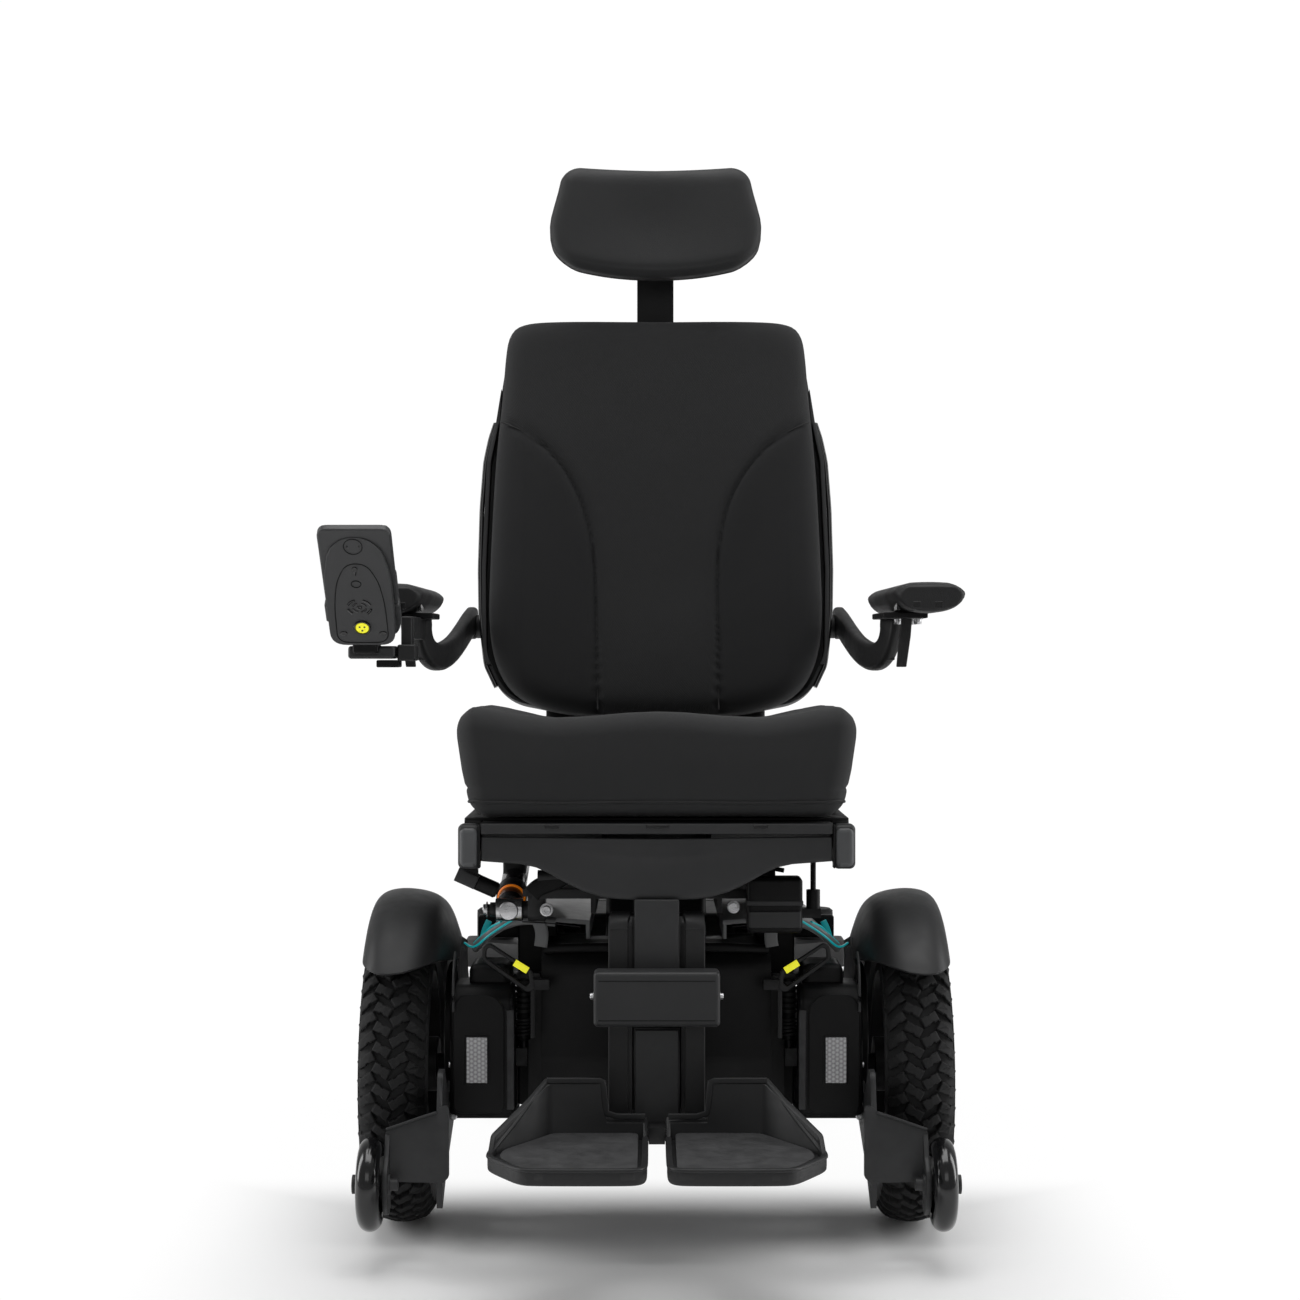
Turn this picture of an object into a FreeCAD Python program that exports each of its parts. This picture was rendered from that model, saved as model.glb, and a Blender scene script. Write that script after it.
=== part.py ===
import FreeCAD, Part
import math
import os

# Powered wheelchair: drive base with two drive wheels and two rear casters, a telescopic
# seat lift, a tilting seat, leg rest, reclined back, headrest, armrests and a joystick.
# Millimetres. X runs across the chair, +X is the occupant's left, -Y the front, +Z up.
# The floor is z = 0. Pieces are modelled with the drive axle at y = 0 and moved by
# SHIFT_Y when written.

Vec = FreeCAD.Vector
X_AXIS = Vec(1, 0, 0)
SIDES = (1, -1)          # left (+X), then right (-X)
SHIFT_Y = -134.5         # puts the middle of the length at y = 0
RUN = 0.05               # radial running clearance of a pivot

# ---------------------------------------------------------------- driving dimensions
# drive wheel and its axle
WHEEL_R = 177.0
WHEEL_X0, WHEEL_X1 = 249.0, 325.0      # inner and outer side of the tyre
RIM_R = 116.0
AXLE_Z = 177.0
AXLE_R = 12
# rear caster: swivel stem, and wheel trailing behind it
CASTER_R = 90.0
CASTER_X, CASTER_Y = 222.0, 580.0
CASTER_TRAIL = 45.0
CASTER_WHEEL_Y = CASTER_Y + CASTER_TRAIL
STEM_R = 12
CASTER_PIN_R = 6
# suspension pivot and damper
SUSP_Y, SUSP_Z, SUSP_PIN_R = 120.0, 170.0, 12
DAMPER_X, DAMPER_Y = 148.5, -64
# front support roller and the pivot of its arm
ROLLER_Y, ROLLER_Z, ROLLER_R = -228.0, 90.0, 47.5
ROLLER_PIN_R = 6
ARM_Y, ARM_Z, ARM_PIN_R = -70.0, 150.0, 8
# seat tilt pivot, and the actuator between its front and rear pins
TILT_Y, TILT_Z, TILT_PIN_R = 165.0, 392.0, 8
ACT_X = -162.0
ACT_FRONT_Y, ACT_FRONT_Z = -110.0, 366.0
ACT_REAR_Y, ACT_REAR_Z = 130.0, 421.3
ACT_PIN_R = 6
# leg rest knee pivot and footplate pivot
KNEE_Y, KNEE_Z, KNEE_PIN_R = -222.0, 440.0, 6
FOOT_Y, FOOT_Z, FOOT_PIN_R = -274.0, 150.0, 5
# backrest pivot, and the lean from vertical about its own line
RECL_Y, RECL_Z, RECL_PIN_R = 235.0, 470.0, 8
LEAN = 8.0               # degrees
LEAN_Y, LEAN_Z = 200.0, 570.0
HEAD_Y, HEAD_Z, HEAD_PIN_R = 344.0, 1166.0, 6
ARMREST_Y, ARMREST_Z, ARMREST_PIN_R = 312.0, 682.0, 9
# joystick mount post, and the origin and slope of the control module
JOY_X, JOY_Y, JOY_POST_R = -314.0, -118.0, 7
MODULE_Y, MODULE_Z = -186.0, 716.0
JOY_ANGLE = 43.8         # degrees


# ---------------------------------------------------------------- shape helpers
def box(x0, x1, y0, y1, z0, z1):
    return Part.makeBox(abs(x1 - x0), abs(y1 - y0), abs(z1 - z0),
                        Vec(min(x0, x1), min(y0, y1), min(z0, z1)))


def soften(shape, radius, pick=None):
    """Fillet the picked edges, or all of them."""
    edges = [edge for edge in shape.Edges if pick is None or pick(edge)]
    # Guards against a fillet that cannot be built: the shape then stays sharp.
    try:
        rounded = shape.makeFillet(radius, edges)
        if rounded.isValid() and rounded.Volume > 0:
            return rounded
    except Exception:
        pass
    return shape


def soft_box(x0, x1, y0, y1, z0, z1, radius):
    return soften(box(x0, x1, y0, y1, z0, z1), radius)


def cyl_x(x0, x1, y, z, radius):
    return Part.makeCylinder(radius, abs(x1 - x0), Vec(min(x0, x1), y, z), X_AXIS)


def cyl_y(y0, y1, x, z, radius):
    return Part.makeCylinder(radius, abs(y1 - y0), Vec(x, min(y0, y1), z), Vec(0, 1, 0))


def cyl_z(z0, z1, x, y, radius):
    return Part.makeCylinder(radius, abs(z1 - z0), Vec(x, y, min(z0, z1)), Vec(0, 0, 1))


def rod(start, end, radius):
    start, end = Vec(*start), Vec(*end)
    along = end - start
    return Part.makeCylinder(radius, along.Length, start, along)


def bent_rod(points, radius):
    bar = rod(points[0], points[1], radius)
    for i in range(1, len(points) - 1):
        bar = bar.fuse(rod(points[i], points[i + 1], radius))
        bar = bar.fuse(Part.makeSphere(radius, Vec(*points[i])))
    return bar


def join(first, *others):
    """Fuse one after another, keeping the seams."""
    for other in others:
        first = first.fuse(other)
    return first


def carve(shape, *tools):
    for tool in tools:
        shape = shape.cut(tool)
    return shape


def round_wire(points, place, radius=0.0):
    """Closed outline with arcs at its corners. A point is (a, b) or (a, b, corner radius);
    place turns a and b into a 3D point."""
    count = len(points)
    corners = []         # arc start, arc end and arc middle; no middle on a sharp corner
    for i in range(count):
        here = points[i]
        bend = here[2] if len(here) > 2 else radius
        before, after = points[i - 1], points[(i + 1) % count]
        back = (before[0] - here[0], before[1] - here[1])
        ahead = (after[0] - here[0], after[1] - here[1])
        len1, len2 = math.hypot(*back), math.hypot(*ahead)
        dir1 = (back[0] / len1, back[1] / len1)
        dir2 = (ahead[0] / len2, ahead[1] / len2)
        cosine = max(-1.0, min(1.0, dir1[0] * dir2[0] + dir1[1] * dir2[1]))
        angle = math.acos(cosine)
        if bend <= 0.01 or angle > math.pi - 0.02:
            corners.append((here[:2], here[:2], None))
            continue
        trim = min(bend / math.tan(angle / 2), 0.48 * len1, 0.48 * len2)
        bend = trim * math.tan(angle / 2)
        start = (here[0] + dir1[0] * trim, here[1] + dir1[1] * trim)
        end = (here[0] + dir2[0] * trim, here[1] + dir2[1] * trim)
        inward = (dir1[0] + dir2[0], dir1[1] + dir2[1])
        size = math.hypot(*inward)
        depth = bend / math.sin(angle / 2) - bend
        middle = (here[0] + inward[0] / size * depth, here[1] + inward[1] / size * depth)
        corners.append((start, end, middle))
    edges = []
    for i in range(count):
        start, end, middle = corners[i]
        if middle is not None:
            edges.append(Part.Arc(place(*start), place(*middle), place(*end)).toShape())
        following = corners[(i + 1) % count][0]
        if math.hypot(following[0] - end[0], following[1] - end[1]) > 1e-4:
            edges.append(Part.makeLine(place(*end), place(*following)))
    return Part.Wire(edges)


def prism_yz(points, x0, x1):
    wire = round_wire(points, lambda y, z: Vec(min(x0, x1), y, z))
    return Part.Face(wire).extrude(Vec(abs(x1 - x0), 0, 0))


def prism_xz(points, y0, y1):
    wire = round_wire(points, lambda x, z: Vec(x, min(y0, y1), z))
    return Part.Face(wire).extrude(Vec(0, abs(y1 - y0), 0))


def prism_xy(points, z0, z1, radius=0.0):
    wire = round_wire(points, lambda x, y: Vec(x, y, min(z0, z1)), radius)
    return Part.Face(wire).extrude(Vec(0, 0, abs(z1 - z0)))


def turned(points, y, z):
    """Solid of revolution about the X line through (y, z); points are (x, radius)."""
    wire = round_wire(points, lambda x, reach: Vec(x, y, z + reach))
    return Part.Face(wire).revolve(Vec(0, y, z), X_AXIS, 360)


def on_side(side, points):
    return [(side * x, *rest) for x, *rest in points]


def symmetric(points):
    """Half an outline followed by its mirror image in X."""
    return points + on_side(-1, points)[::-1]


def mirror_x(shape):
    return shape.mirror(Vec(0, 0, 0), X_AXIS)


def turn_x(shape, y, z, degrees):
    """Copy turned about the X line through (y, z)."""
    copy = shape.copy()
    copy.rotate(Vec(0, y, z), X_AXIS, degrees)
    return copy


# ---------------------------------------------------------------- output
os.makedirs("parts", exist_ok=True)


def save(name, *solids):
    shape = solids[0] if len(solids) == 1 else Part.makeCompound(list(solids))
    shape = shape.copy()
    shape.translate(Vec(0, SHIFT_Y, 0))
    shape.exportStep("parts/" + name + ".step")


def save_pair(name, left):
    save(name + "_left", left)
    save(name + "_right", mirror_x(left))


# ================================================================= fixed base
BASE_Y0, BASE_Y1 = -56, 432            # front and rear of the belly plate
BELLY_Z = 116                          # top of the belly plate

# (x, y) of the plate from a rear arm out to the caster swivel
SWIVEL_ARM = [(133, 470), (262, 552), (262, 608), (180, 612), (110, 560)]


def chassis_frame():
    frame = box(-146, 146, BASE_Y0, BASE_Y1, 110, BELLY_Z)
    frame = frame.fuse(box(-123, 123, -78, -50, 106, 111.9))
    for side in SIDES:
        frame = join(
            frame,
            box(side * 138, side * 144, BASE_Y0, BASE_Y1, BELLY_Z, 250),    # side plate
            cyl_x(side * 138, side * 225, SUSP_Y, SUSP_Z, SUSP_PIN_R),
            box(side * 116, side * 140, 428, BASE_Y1, BELLY_Z, 300),        # rear strap
            box(side * 100, side * 135, BASE_Y1, 560, 212, 252),            # rear arm
            prism_xy(on_side(side, SWIVEL_ARM), 214, 250, 8),
            cyl_z(206, 286, side * CASTER_X, CASTER_Y, 26))                 # swivel housing
        frame = frame.cut(cyl_z(200, 282, side * CASTER_X, CASTER_Y, STEM_R + RUN))
    frame = join(
        frame,
        box(-135, 135, 530, 560, 212, 252),                                 # rear cross beam
        box(-122, 122, -72, -64, BELLY_Z, 284),                             # front bulkheads
        box(-144, 144, BASE_Y0, -50, 111, 284),
        box(-110, 110, -66, -54, BELLY_Z, 140),
        box(-118, 118, 428, BASE_Y1, 250, 300))
    for x in (-90, 90):                                    # bolt holes in the belly plate
        for y in (30, 130):
            frame = frame.cut(cyl_z(100, 120, x, y, 5.5))
    for side in SIDES:                                     # damper brackets
        frame = frame.fuse(box(side * 130, side * 156, -70, -50, 284, 290))
        frame = frame.fuse(box(side * 128, side * 144, BASE_Y0, -50, 240, 290))
    return frame.removeSplitter()


def damper(side):
    """Upright sleeve with five raised rings above a collar."""
    x = side * DAMPER_X
    sleeve = cyl_z(216, 284, x, DAMPER_Y, 7.6).fuse(cyl_z(240, 244, x, DAMPER_Y, 8))
    for i in range(5):
        sleeve = sleeve.fuse(cyl_z(248 + 7 * i, 251.5 + 7 * i, x, DAMPER_Y, 8))
    return sleeve.cut(cyl_z(200, 280, x, DAMPER_Y, 6.4)).removeSplitter()


def battery(side):
    case = soft_box(side * 2, side * 134, 165, 424, 117, 300, 6)
    return join(case, *[cyl_z(299, 308, side * x, 190, 8) for x in (30, 105)])


def power_module():
    return join(soft_box(-110, 110, -48, 12, 150, 262, 5),
                box(-120, 120, -50, -46, 145, 270),
                box(-80, 80, -20, -10, BELLY_Z, 152)).removeSplitter()


# (y, z, corner radius): thin section of the front shell, and its solid side wall
SHELL_SKIN = [
    (-58, 112), (-96, 112, 14), (-107, 200, 60), (-104, 300, 26), (-86, 323, 20), (-20, 329),
    (-20, 326), (-85, 320, 18), (-101, 298, 24), (-104, 200, 58), (-94, 115, 12), (-58, 115)]
SHELL_SIDE = SHELL_SKIN[:6] + [(-20, 300), (-58, 290)]
SHELL_X = 127


def front_shell():
    """Open at the rear and underneath."""
    shell = prism_yz(SHELL_SKIN, -SHELL_X, SHELL_X)
    for side in SIDES:
        shell = shell.fuse(prism_yz(SHELL_SIDE, side * 124, side * SHELL_X))
    shell = shell.fuse(box(-SHELL_X, SHELL_X, -22, -20, 300, 329))
    return shell.cut(box(-75, 75, -60, 0, 326, 340)).removeSplitter()


# (x, z, corner radius) of the skin over each side of the base
SHOULDER_SKIN = [
    (74, 352), (148, 358, 20), (180, 344, 16), (206, 318, 10),
    (203, 315), (176, 339, 14), (146, 353, 18), (74, 347)]
# (x, y, corner radius) of what is kept at its front
SHOULDER_FRONT = [(60, -92), (150, -92, 30), (206, -58, 30), (206, 0), (60, 0)]
# (x, y, z) along the trim bar on the front outer corner
ACCENT_LINE = [(204.5, -50, 321), (183.4, -77, 342.5), (172, -88.5, 349)]


def shoulder_cover(side):
    cover = join(prism_xz(on_side(side, SHOULDER_SKIN), -96, 148),
                 box(side * 74, side * 78, -90, 148, 331, 350),
                 box(side * 80, side * 128, -96, -92, 331, 352))
    front = box(side * 60, side * 220, -120, -60, 300, 400)
    kept = prism_xy(on_side(side, SHOULDER_FRONT), 290, 410)
    return cover.cut(front.cut(kept)).removeSplitter()


def rear_cover():
    """Hollow cover with a tail reaching back between the casters."""
    cover = carve(soft_box(-150, 150, 154, 446, 118, 332, 10),
                  box(-146.5, 146.5, 140, 442.5, 100, 328),
                  box(-200, 200, 150, 450, 110, 130))
    tail = soft_box(-150, 150, 430, 600, 262, 331, 10)
    tail = tail.cut(box(-146.5, 146.5, 420, 596.5, 250, 327.5))
    cover = cover.fuse(tail.cut(box(-200, 200, 400, 444, 200, 400)))
    for side in SIDES:                                     # openings for the rear arms
        cover = cover.cut(box(side * 98, side * 145, 430, 470, 205, 256))
    return cover.cut(box(-143, 143, 430, 450, 280, 320)).removeSplitter()


# (x, z, corner radius) of the front tie-down loop
LOOP_OUTER = [(192, 312, 8), (190, 335, 7), (136, 300, 6), (133, 279, 5), (142, 276, 6)]
LOOP_INNER = [(187, 314, 4), (186, 328, 4), (141, 298, 3), (139, 286, 3), (143, 283, 3)]


def front_loop(side):
    loop = prism_xz(on_side(side, LOOP_OUTER), -122, -115)
    loop = soften(loop.cut(prism_xz(on_side(side, LOOP_INNER), -130, -100)), 1.6)
    loop = join(loop,
                box(side * 118, side * 138, -121, -113, 279, 290),
                box(side * 118, side * 132, -114, -106, 279, 290),
                box(side * 133.5, side * 138, -120.5, -116, 226, 284))
    return loop.cut(box(side * 100, side * 127, -112, -60, 270, 330))


def rear_loop(side):
    """Upright bar behind the tail with a short foot at each end."""
    x, low, high = side * 60, 275, 299
    return join(rod((x, 604, low), (x, 604, high), 4),
                *[rod((x, 600, z), (x, 606, z), 4) for z in (low, high)])


save("chassis_frame", chassis_frame())
save("battery_pack", *[battery(side) for side in SIDES])
save("suspension_dampers", *[damper(side) for side in SIDES])
save("power_module", power_module())
save("front_shell", front_shell())
shoulders = [shoulder_cover(side) for side in SIDES]
save("shoulder_covers", *shoulders)
save("accent_trim", *[bent_rod(on_side(side, ACCENT_LINE), 2.2).cut(cover)
                      for side, cover in zip(SIDES, shoulders)])
save("rear_cover", rear_cover())
save("tie_down_loops", *[make(side) for side in SIDES for make in (front_loop, rear_loop)])

# ================================================================= seat lift and platform
LIFT_X = 58.0                          # half width of the outer column
LIFT_Y0, LIFT_Y1 = 20.0, 150.0
LIFT_STEP = 5                          # each stage is this much smaller all round
DECK_Z = 390                           # top of the platform


def lift_column(stage, z0, z1, wall):
    """Square tube; stage 0 is the outer one."""
    half = LIFT_X - stage * LIFT_STEP
    y0, y1 = LIFT_Y0 + stage * LIFT_STEP, LIFT_Y1 - stage * LIFT_STEP

    def upright(edge):
        size = edge.BoundBox
        return abs(size.ZLength - (z1 - z0)) < 0.1 and size.XLength < .1 and size.YLength < .1

    outer = soften(box(-half, half, y0, y1, z0, z1), 8, upright)
    return outer.cut(box(-half + wall, half - wall, y0 + wall, y1 - wall, z0 - 1, z1 + 1))


def lift_outer_column():
    flange = box(-LIFT_X - 12, LIFT_X + 12, LIFT_Y0 - 5, LIFT_Y1 - 1, BELLY_Z, 120)
    flange = flange.cut(box(-50, 50, 28, 142, 110, 130))
    return lift_column(0, BELLY_Z, 372, 4).fuse(flange).removeSplitter()


# (y, z, corner radius)
TILT_EAR = [
    (110, 384), (TILT_Y, TILT_Z - 14, 13.9), (TILT_Y + 14, TILT_Z - 14, 13.9),
    (TILT_Y + 14, TILT_Z + 14, 13.9), (TILT_Y - 14, TILT_Z + 14, 13.9), (110, 392)]
ACT_EAR = [(-128, DECK_Z), (-84, DECK_Z), (-94, 356, 9), (-122, 353, 9)]


def seat_platform():
    deck = carve(box(-136, 140, -130, 140, 380, DECK_Z),
                 box(-136, -100, 20, 120, 370, 400),
                 box(100, 140, 20, 120, 370, 400))
    for side in SIDES:
        deck = join(deck, prism_yz(TILT_EAR, side * 88, side * 99),
                    cyl_x(side * 88, side * 118, TILT_Y, TILT_Z, TILT_PIN_R))
    deck = join(deck, box(ACT_X + 15.5, -130, -128, -92, 382, DECK_Z),
                prism_yz(ACT_EAR, ACT_X + 21, ACT_X + 40))
    # front actuator pin with its collars: (start and end from ACT_X, radius)
    for x0, x1, radius in ((15.3, 22, 9.6), (-21, -15.3, 8), (-24, 24, ACT_PIN_R), (20, 26, 9)):
        deck = deck.fuse(cyl_x(ACT_X + x0, ACT_X + x1, ACT_FRONT_Y, ACT_FRONT_Z, radius))
    return deck.removeSplitter()


def lift_motor():
    return join(soft_box(98, 158, -163, -130, 346, 406, 5),
                box(150, 178, -158, -142, 362, 372),
                cyl_z(372, 392, 170, -150, 7.5),
                cyl_z(392, 424, 170, -150, 3)).removeSplitter()


# The tilt actuator lies along the right edge of the platform. It is modelled level,
# with its front pin in place, then turned up towards its rear pin.
ACT_RISE, ACT_REACH = ACT_REAR_Z - ACT_FRONT_Z, ACT_REAR_Y - ACT_FRONT_Y
ACT_SLOPE = math.degrees(math.atan2(ACT_RISE, ACT_REACH))
ACT_LENGTH = math.hypot(ACT_REACH, ACT_RISE)
ACT_ROD_R = 7


def sloped(shape):
    return turn_x(shape, ACT_FRONT_Y, ACT_FRONT_Z, ACT_SLOPE)


def tilt_actuator_tube():
    y, z = ACT_FRONT_Y, ACT_FRONT_Z
    tube = join(cyl_x(ACT_X - 15, ACT_X + 15, y, z, 12),
                cyl_y(y + 8, y + 175, ACT_X, z, 13.5),
                cyl_y(y + 40, y + 62, ACT_X, z, 17),
                soft_box(ACT_X - 13, ACT_X + 13, y + 100, y + 150, z + 4, z + 26, 4))
    tube = carve(tube, cyl_x(ACT_X - 30, ACT_X + 30, y, z, ACT_PIN_R + RUN),
                 cyl_y(y + 30, y + 200, ACT_X, z, ACT_ROD_R + RUN))
    return sloped(tube)


def tilt_actuator_rod():
    y, z = ACT_FRONT_Y, ACT_FRONT_Z
    end = y + ACT_LENGTH
    bar = cyl_y(y + 70, end - 12, ACT_X, z, ACT_ROD_R)
    bar = bar.fuse(cyl_x(ACT_X - 8, ACT_X + 8, end, z, 15))
    return sloped(bar.cut(cyl_x(ACT_X - 30, ACT_X + 30, end, z, 10.2)))


save("lift_outer_column", lift_outer_column())
save("lift_middle_column", lift_column(1, 122, 375, 4))
save("lift_inner_column", lift_column(2, 126, 380, 5).removeSplitter())
save("seat_platform", seat_platform())
save("lift_motor", lift_motor())
save("tilt_actuator_tube", tilt_actuator_tube())
save("tilt_actuator_rod", tilt_actuator_rod())

# ================================================================= drive units (left side)
# (y, z, corner radius)
SWING_ARM = [(SUSP_Y + 22, SUSP_Z + 22, 20), (SUSP_Y + 22, SUSP_Z - 22, 20),
             (-30, 150, 20), (-30, 210, 20)]


def drive_unit():
    gearbox = cyl_x(158, 223.5, 0, AXLE_Z, 58).fuse(cyl_x(158, 214, 46, 226, 26))
    motor = cyl_y(-118, 41, 191, 222, 28.6).fuse(cyl_y(41, 84, 191, 222, 24.3))
    unit = join(prism_yz(SWING_ARM, 160, 184), gearbox, motor,
                cyl_x(158, 206, ARM_Y, ARM_Z, 20),
                cyl_x(200, 236, ARM_Y, ARM_Z, ARM_PIN_R),
                cyl_x(223, 268, 0, AXLE_Z, AXLE_R),
                box(160, 210, -70, 0, 142, 190),
                box(190, 223.5, 40, 90, 235, 262),
                cyl_x(158, 184, SUSP_Y, SUSP_Z, 24))
    unit = unit.cut(cyl_x(150, 240, SUSP_Y, SUSP_Z, SUSP_PIN_R + RUN))
    damper_rod = cyl_z(205, 236, DAMPER_X, DAMPER_Y, 2.8)
    unit = unit.fuse(damper_rod.fuse(box(144.5, 174, -69, -59, 186, 206)))
    return unit.cut(box(183.9, 240, 96, 150, 140, 200))


# (y, z, corner radius)
COVER_OUTER = [(-60, 138), (-124, 138, 8), (-131, 150, 8), (-131, 268, 14), (-116, 284, 18),
               (-60, 284)]
COVER_INNER = [(-50, 141.5), (-122, 141.5, 6), (-127, 150, 6), (-127, 266, 12), (-114, 280, 14),
               (-50, 280)]


def motor_cover(unit):
    """Shell over the front of the motor, cleared around the drive unit."""
    def side_rim(edge):
        size = edge.BoundBox
        return size.YMax < -61 and size.YLength + size.ZLength > 3 and abs(size.XLength) < .1

    cover = soften(prism_yz(COVER_OUTER, 157, 225), 6, side_rim)
    return carve(cover, prism_yz(COVER_INNER, 160.5, 221.5),
                 box(212, 230, -98, -40, 120, 182),        # relief for the support arm hub
                 box(150, 165, -75, -44, 190, 300),
                 cyl_x(150, 212, ARM_Y, ARM_Z, 23),
                 box(150, 212, -62, -50, 140, 200),
                 unit).removeSplitter()


# (x, radius from the axle, corner radius)
FENDER_OUTER = [(224, 170), (224, 190, 12), (250, 203, 26), (297, 202, 26), (327, 181, 14),
                (327, 170)]
FENDER_INNER = [(228, 160), (228, 188, 10), (252, 199.5, 23), (295, 198.5, 23),
                (323.5, 179.5, 11), (323.5, 160)]
FENDER_FRONT, FENDER_REAR = 140.0, 25.0    # lips, degrees up from +Y about the axle


def axle_ray(degrees, reach):
    angle = math.radians(degrees)
    return (reach * math.cos(angle), AXLE_Z + reach * math.sin(angle))


def fender():
    ring = turned(FENDER_OUTER, 0, AXLE_Z).cut(turned(FENDER_INNER, 0, AXLE_Z))
    ring = ring.cut(cyl_x(228, 400, 0, AXLE_Z, 179.5))
    between_lips = prism_yz([(0, AXLE_Z), axle_ray(FENDER_FRONT, 300), (-150, AXLE_Z + 330),
                             (150, AXLE_Z + 330), axle_ray(FENDER_REAR, 300)], 200, 340)
    arc = ring.common(between_lips)
    web = prism_yz([(20, 240), (-60, 318), (60, 350), (150, 262), (90, 236)], 224, 228)
    web = web.common(cyl_x(200, 300, 0, AXLE_Z, 186)).fuse(box(223.5, 228, 44, 88, 237, 262))
    return arc.fuse(web).removeSplitter()


def drive_tyre():
    return turned([(WHEEL_X0 + 8, RIM_R), (WHEEL_X0, 132, 10), (WHEEL_X0, 158, 14),
                   (WHEEL_X0 + 14, WHEEL_R, 8), (WHEEL_X1 - 14, WHEEL_R, 8),
                   (WHEEL_X1, 158, 14), (WHEEL_X1, 132, 10), (WHEEL_X1 - 8, RIM_R)], 0, AXLE_Z)


SPOKES = 5
# (y, z from the axle, corner radius) of the window between two spokes
RIM_WINDOW = [(-17, 44, 6), (17, 44, 6), (27, 84, 8), (-27, 84, 8)]
NUT_CIRCLE_R = 24


def drive_rim():
    rim = cyl_x(WHEEL_X0 + 8, WHEEL_X1 - 8, 0, AXLE_Z, RIM_R)
    rim = rim.cut(cyl_x(250, 320, 0, AXLE_Z, 106))
    rim = join(rim, cyl_x(290, 298, 0, AXLE_Z, 107), cyl_x(250, 308, 0, AXLE_Z, 31),
               cyl_x(308, 311, 0, AXLE_Z, 24))
    rim = rim.cut(cyl_x(240, 269, 0, AXLE_Z, AXLE_R + RUN))
    window = prism_yz(RIM_WINDOW, 280, 320)
    window.translate(Vec(0, 0, AXLE_Z))
    pitch = 360 // SPOKES
    for i in range(SPOKES):
        rim = rim.cut(turn_x(window, 0, AXLE_Z, pitch * i))
        angle = math.radians(90 + pitch * i) + .63
        rim = rim.fuse(cyl_x(298, 306, NUT_CIRCLE_R * math.cos(angle),
                             AXLE_Z + NUT_CIRCLE_R * math.sin(angle), 5))
    return rim.removeSplitter()


# (y, z, corner radius)
ARM_BLADE = [
    (ARM_Y + 20, ARM_Z + 20, 19), (ARM_Y + 20, ARM_Z - 20, 19), (-150, 92, 20), (-205, 60, 8),
    (-212, 60, 8), (-214, 160, 8), (-200, 202, 12), (-180, 204, 14), (-140, 168, 30)]
ARM_FLANGE = [(-208, 140, 4), (-208, 60, 8), (-226, 56, 12), (-246, 70, 16), (-246, 104, 16),
              (-228, 118, 14), (-214, 140, 4)]
# (x, z, corner radius) of the plate across the front of the arm
ARM_FRONT = [(220, 94, 5), (220, 170, 4), (230, 168, 4), (233, 161, 4), (287, 144, 6),
             (287, 90, 3), (268, 89, 4), (226, 88, 6)]


def support_arm():
    pin = join(cyl_x(280, 288.6, ROLLER_Y, ROLLER_Z, 11),
               cyl_x(286, 318, ROLLER_Y, ROLLER_Z, ROLLER_PIN_R),
               cyl_x(272, 282, ROLLER_Y, ROLLER_Z, 6.5))
    arm = join(prism_yz(ARM_BLADE, 227, 233), prism_xz(ARM_FRONT, -214, -206),
               prism_yz(ARM_FLANGE, 282, 287), pin,
               cyl_x(316.6, 320, ROLLER_Y, ROLLER_Z, 10)).removeSplitter()
    return arm.cut(cyl_x(220, 240, ARM_Y, ARM_Z, ARM_PIN_R + RUN)).removeSplitter()


# (x, radius, corner radius)
ROLLER_PROFILE = [
    (289, ROLLER_PIN_R + RUN), (289, 18, 2), (293, 22, 3), (290, 34, 8), (292, 44, 8),
    (299, ROLLER_R, 7), (307, ROLLER_R, 7), (314, 44, 8), (316, 34, 8), (313, 22, 3),
    (316.4, 18, 2), (316.4, ROLLER_PIN_R + RUN)]

left_drive = drive_unit()
save_pair("drive_unit", left_drive)
save_pair("motor_cover", motor_cover(left_drive))
save_pair("fender", fender())
save_pair("drive_tyre", drive_tyre())
save_pair("drive_rim", drive_rim())
save_pair("support_arm", support_arm())
save_pair("support_roller", turned(ROLLER_PROFILE, ROLLER_Y, ROLLER_Z))

# ================================================================= rear casters (left side)
# (y, z, corner radius)
FORK_LEG = [
    (CASTER_Y - 26, 200, 4), (CASTER_Y + 32, 200, 4),
    (CASTER_WHEEL_Y + 16, CASTER_R - 4, 15), (CASTER_WHEEL_Y + 4, CASTER_R - 16, 15),
    (CASTER_WHEEL_Y - 18, CASTER_R - 8, 15)]


def caster_axle(x0, x1, radius):
    return cyl_x(CASTER_X + x0, CASTER_X + x1, CASTER_WHEEL_Y, CASTER_R, radius)


def caster_fork():
    crown = soft_box(CASTER_X - 36, CASTER_X + 36, CASTER_Y - 30, CASTER_Y + 34, 188, 203, 6)
    fork = cyl_z(190, 270, CASTER_X, CASTER_Y, STEM_R).fuse(crown)
    for side in SIDES:
        fork = fork.fuse(prism_yz(FORK_LEG, CASTER_X + side * 29, CASTER_X + side * 35))
    return join(fork, caster_axle(-38, 38, CASTER_PIN_R),
                cyl_z(203, 205.5, CASTER_X, CASTER_Y, 22),
                caster_axle(35, 40, 10), caster_axle(-40, -35, 10)).removeSplitter()


# inner half of each profile: (x from the wheel's middle, radius, corner radius)
CASTER_TYRE = [(-22, 62), (-26, 70, 5), (-22, 86, 8), (-8, CASTER_R, 12)]
CASTER_HUB = [(-22, 62), (-22, 56, 2), (-7, 52, 3), (-7, 24, 3), (-27, 18, 3),
              (-27, CASTER_PIN_R + RUN)]


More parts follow.
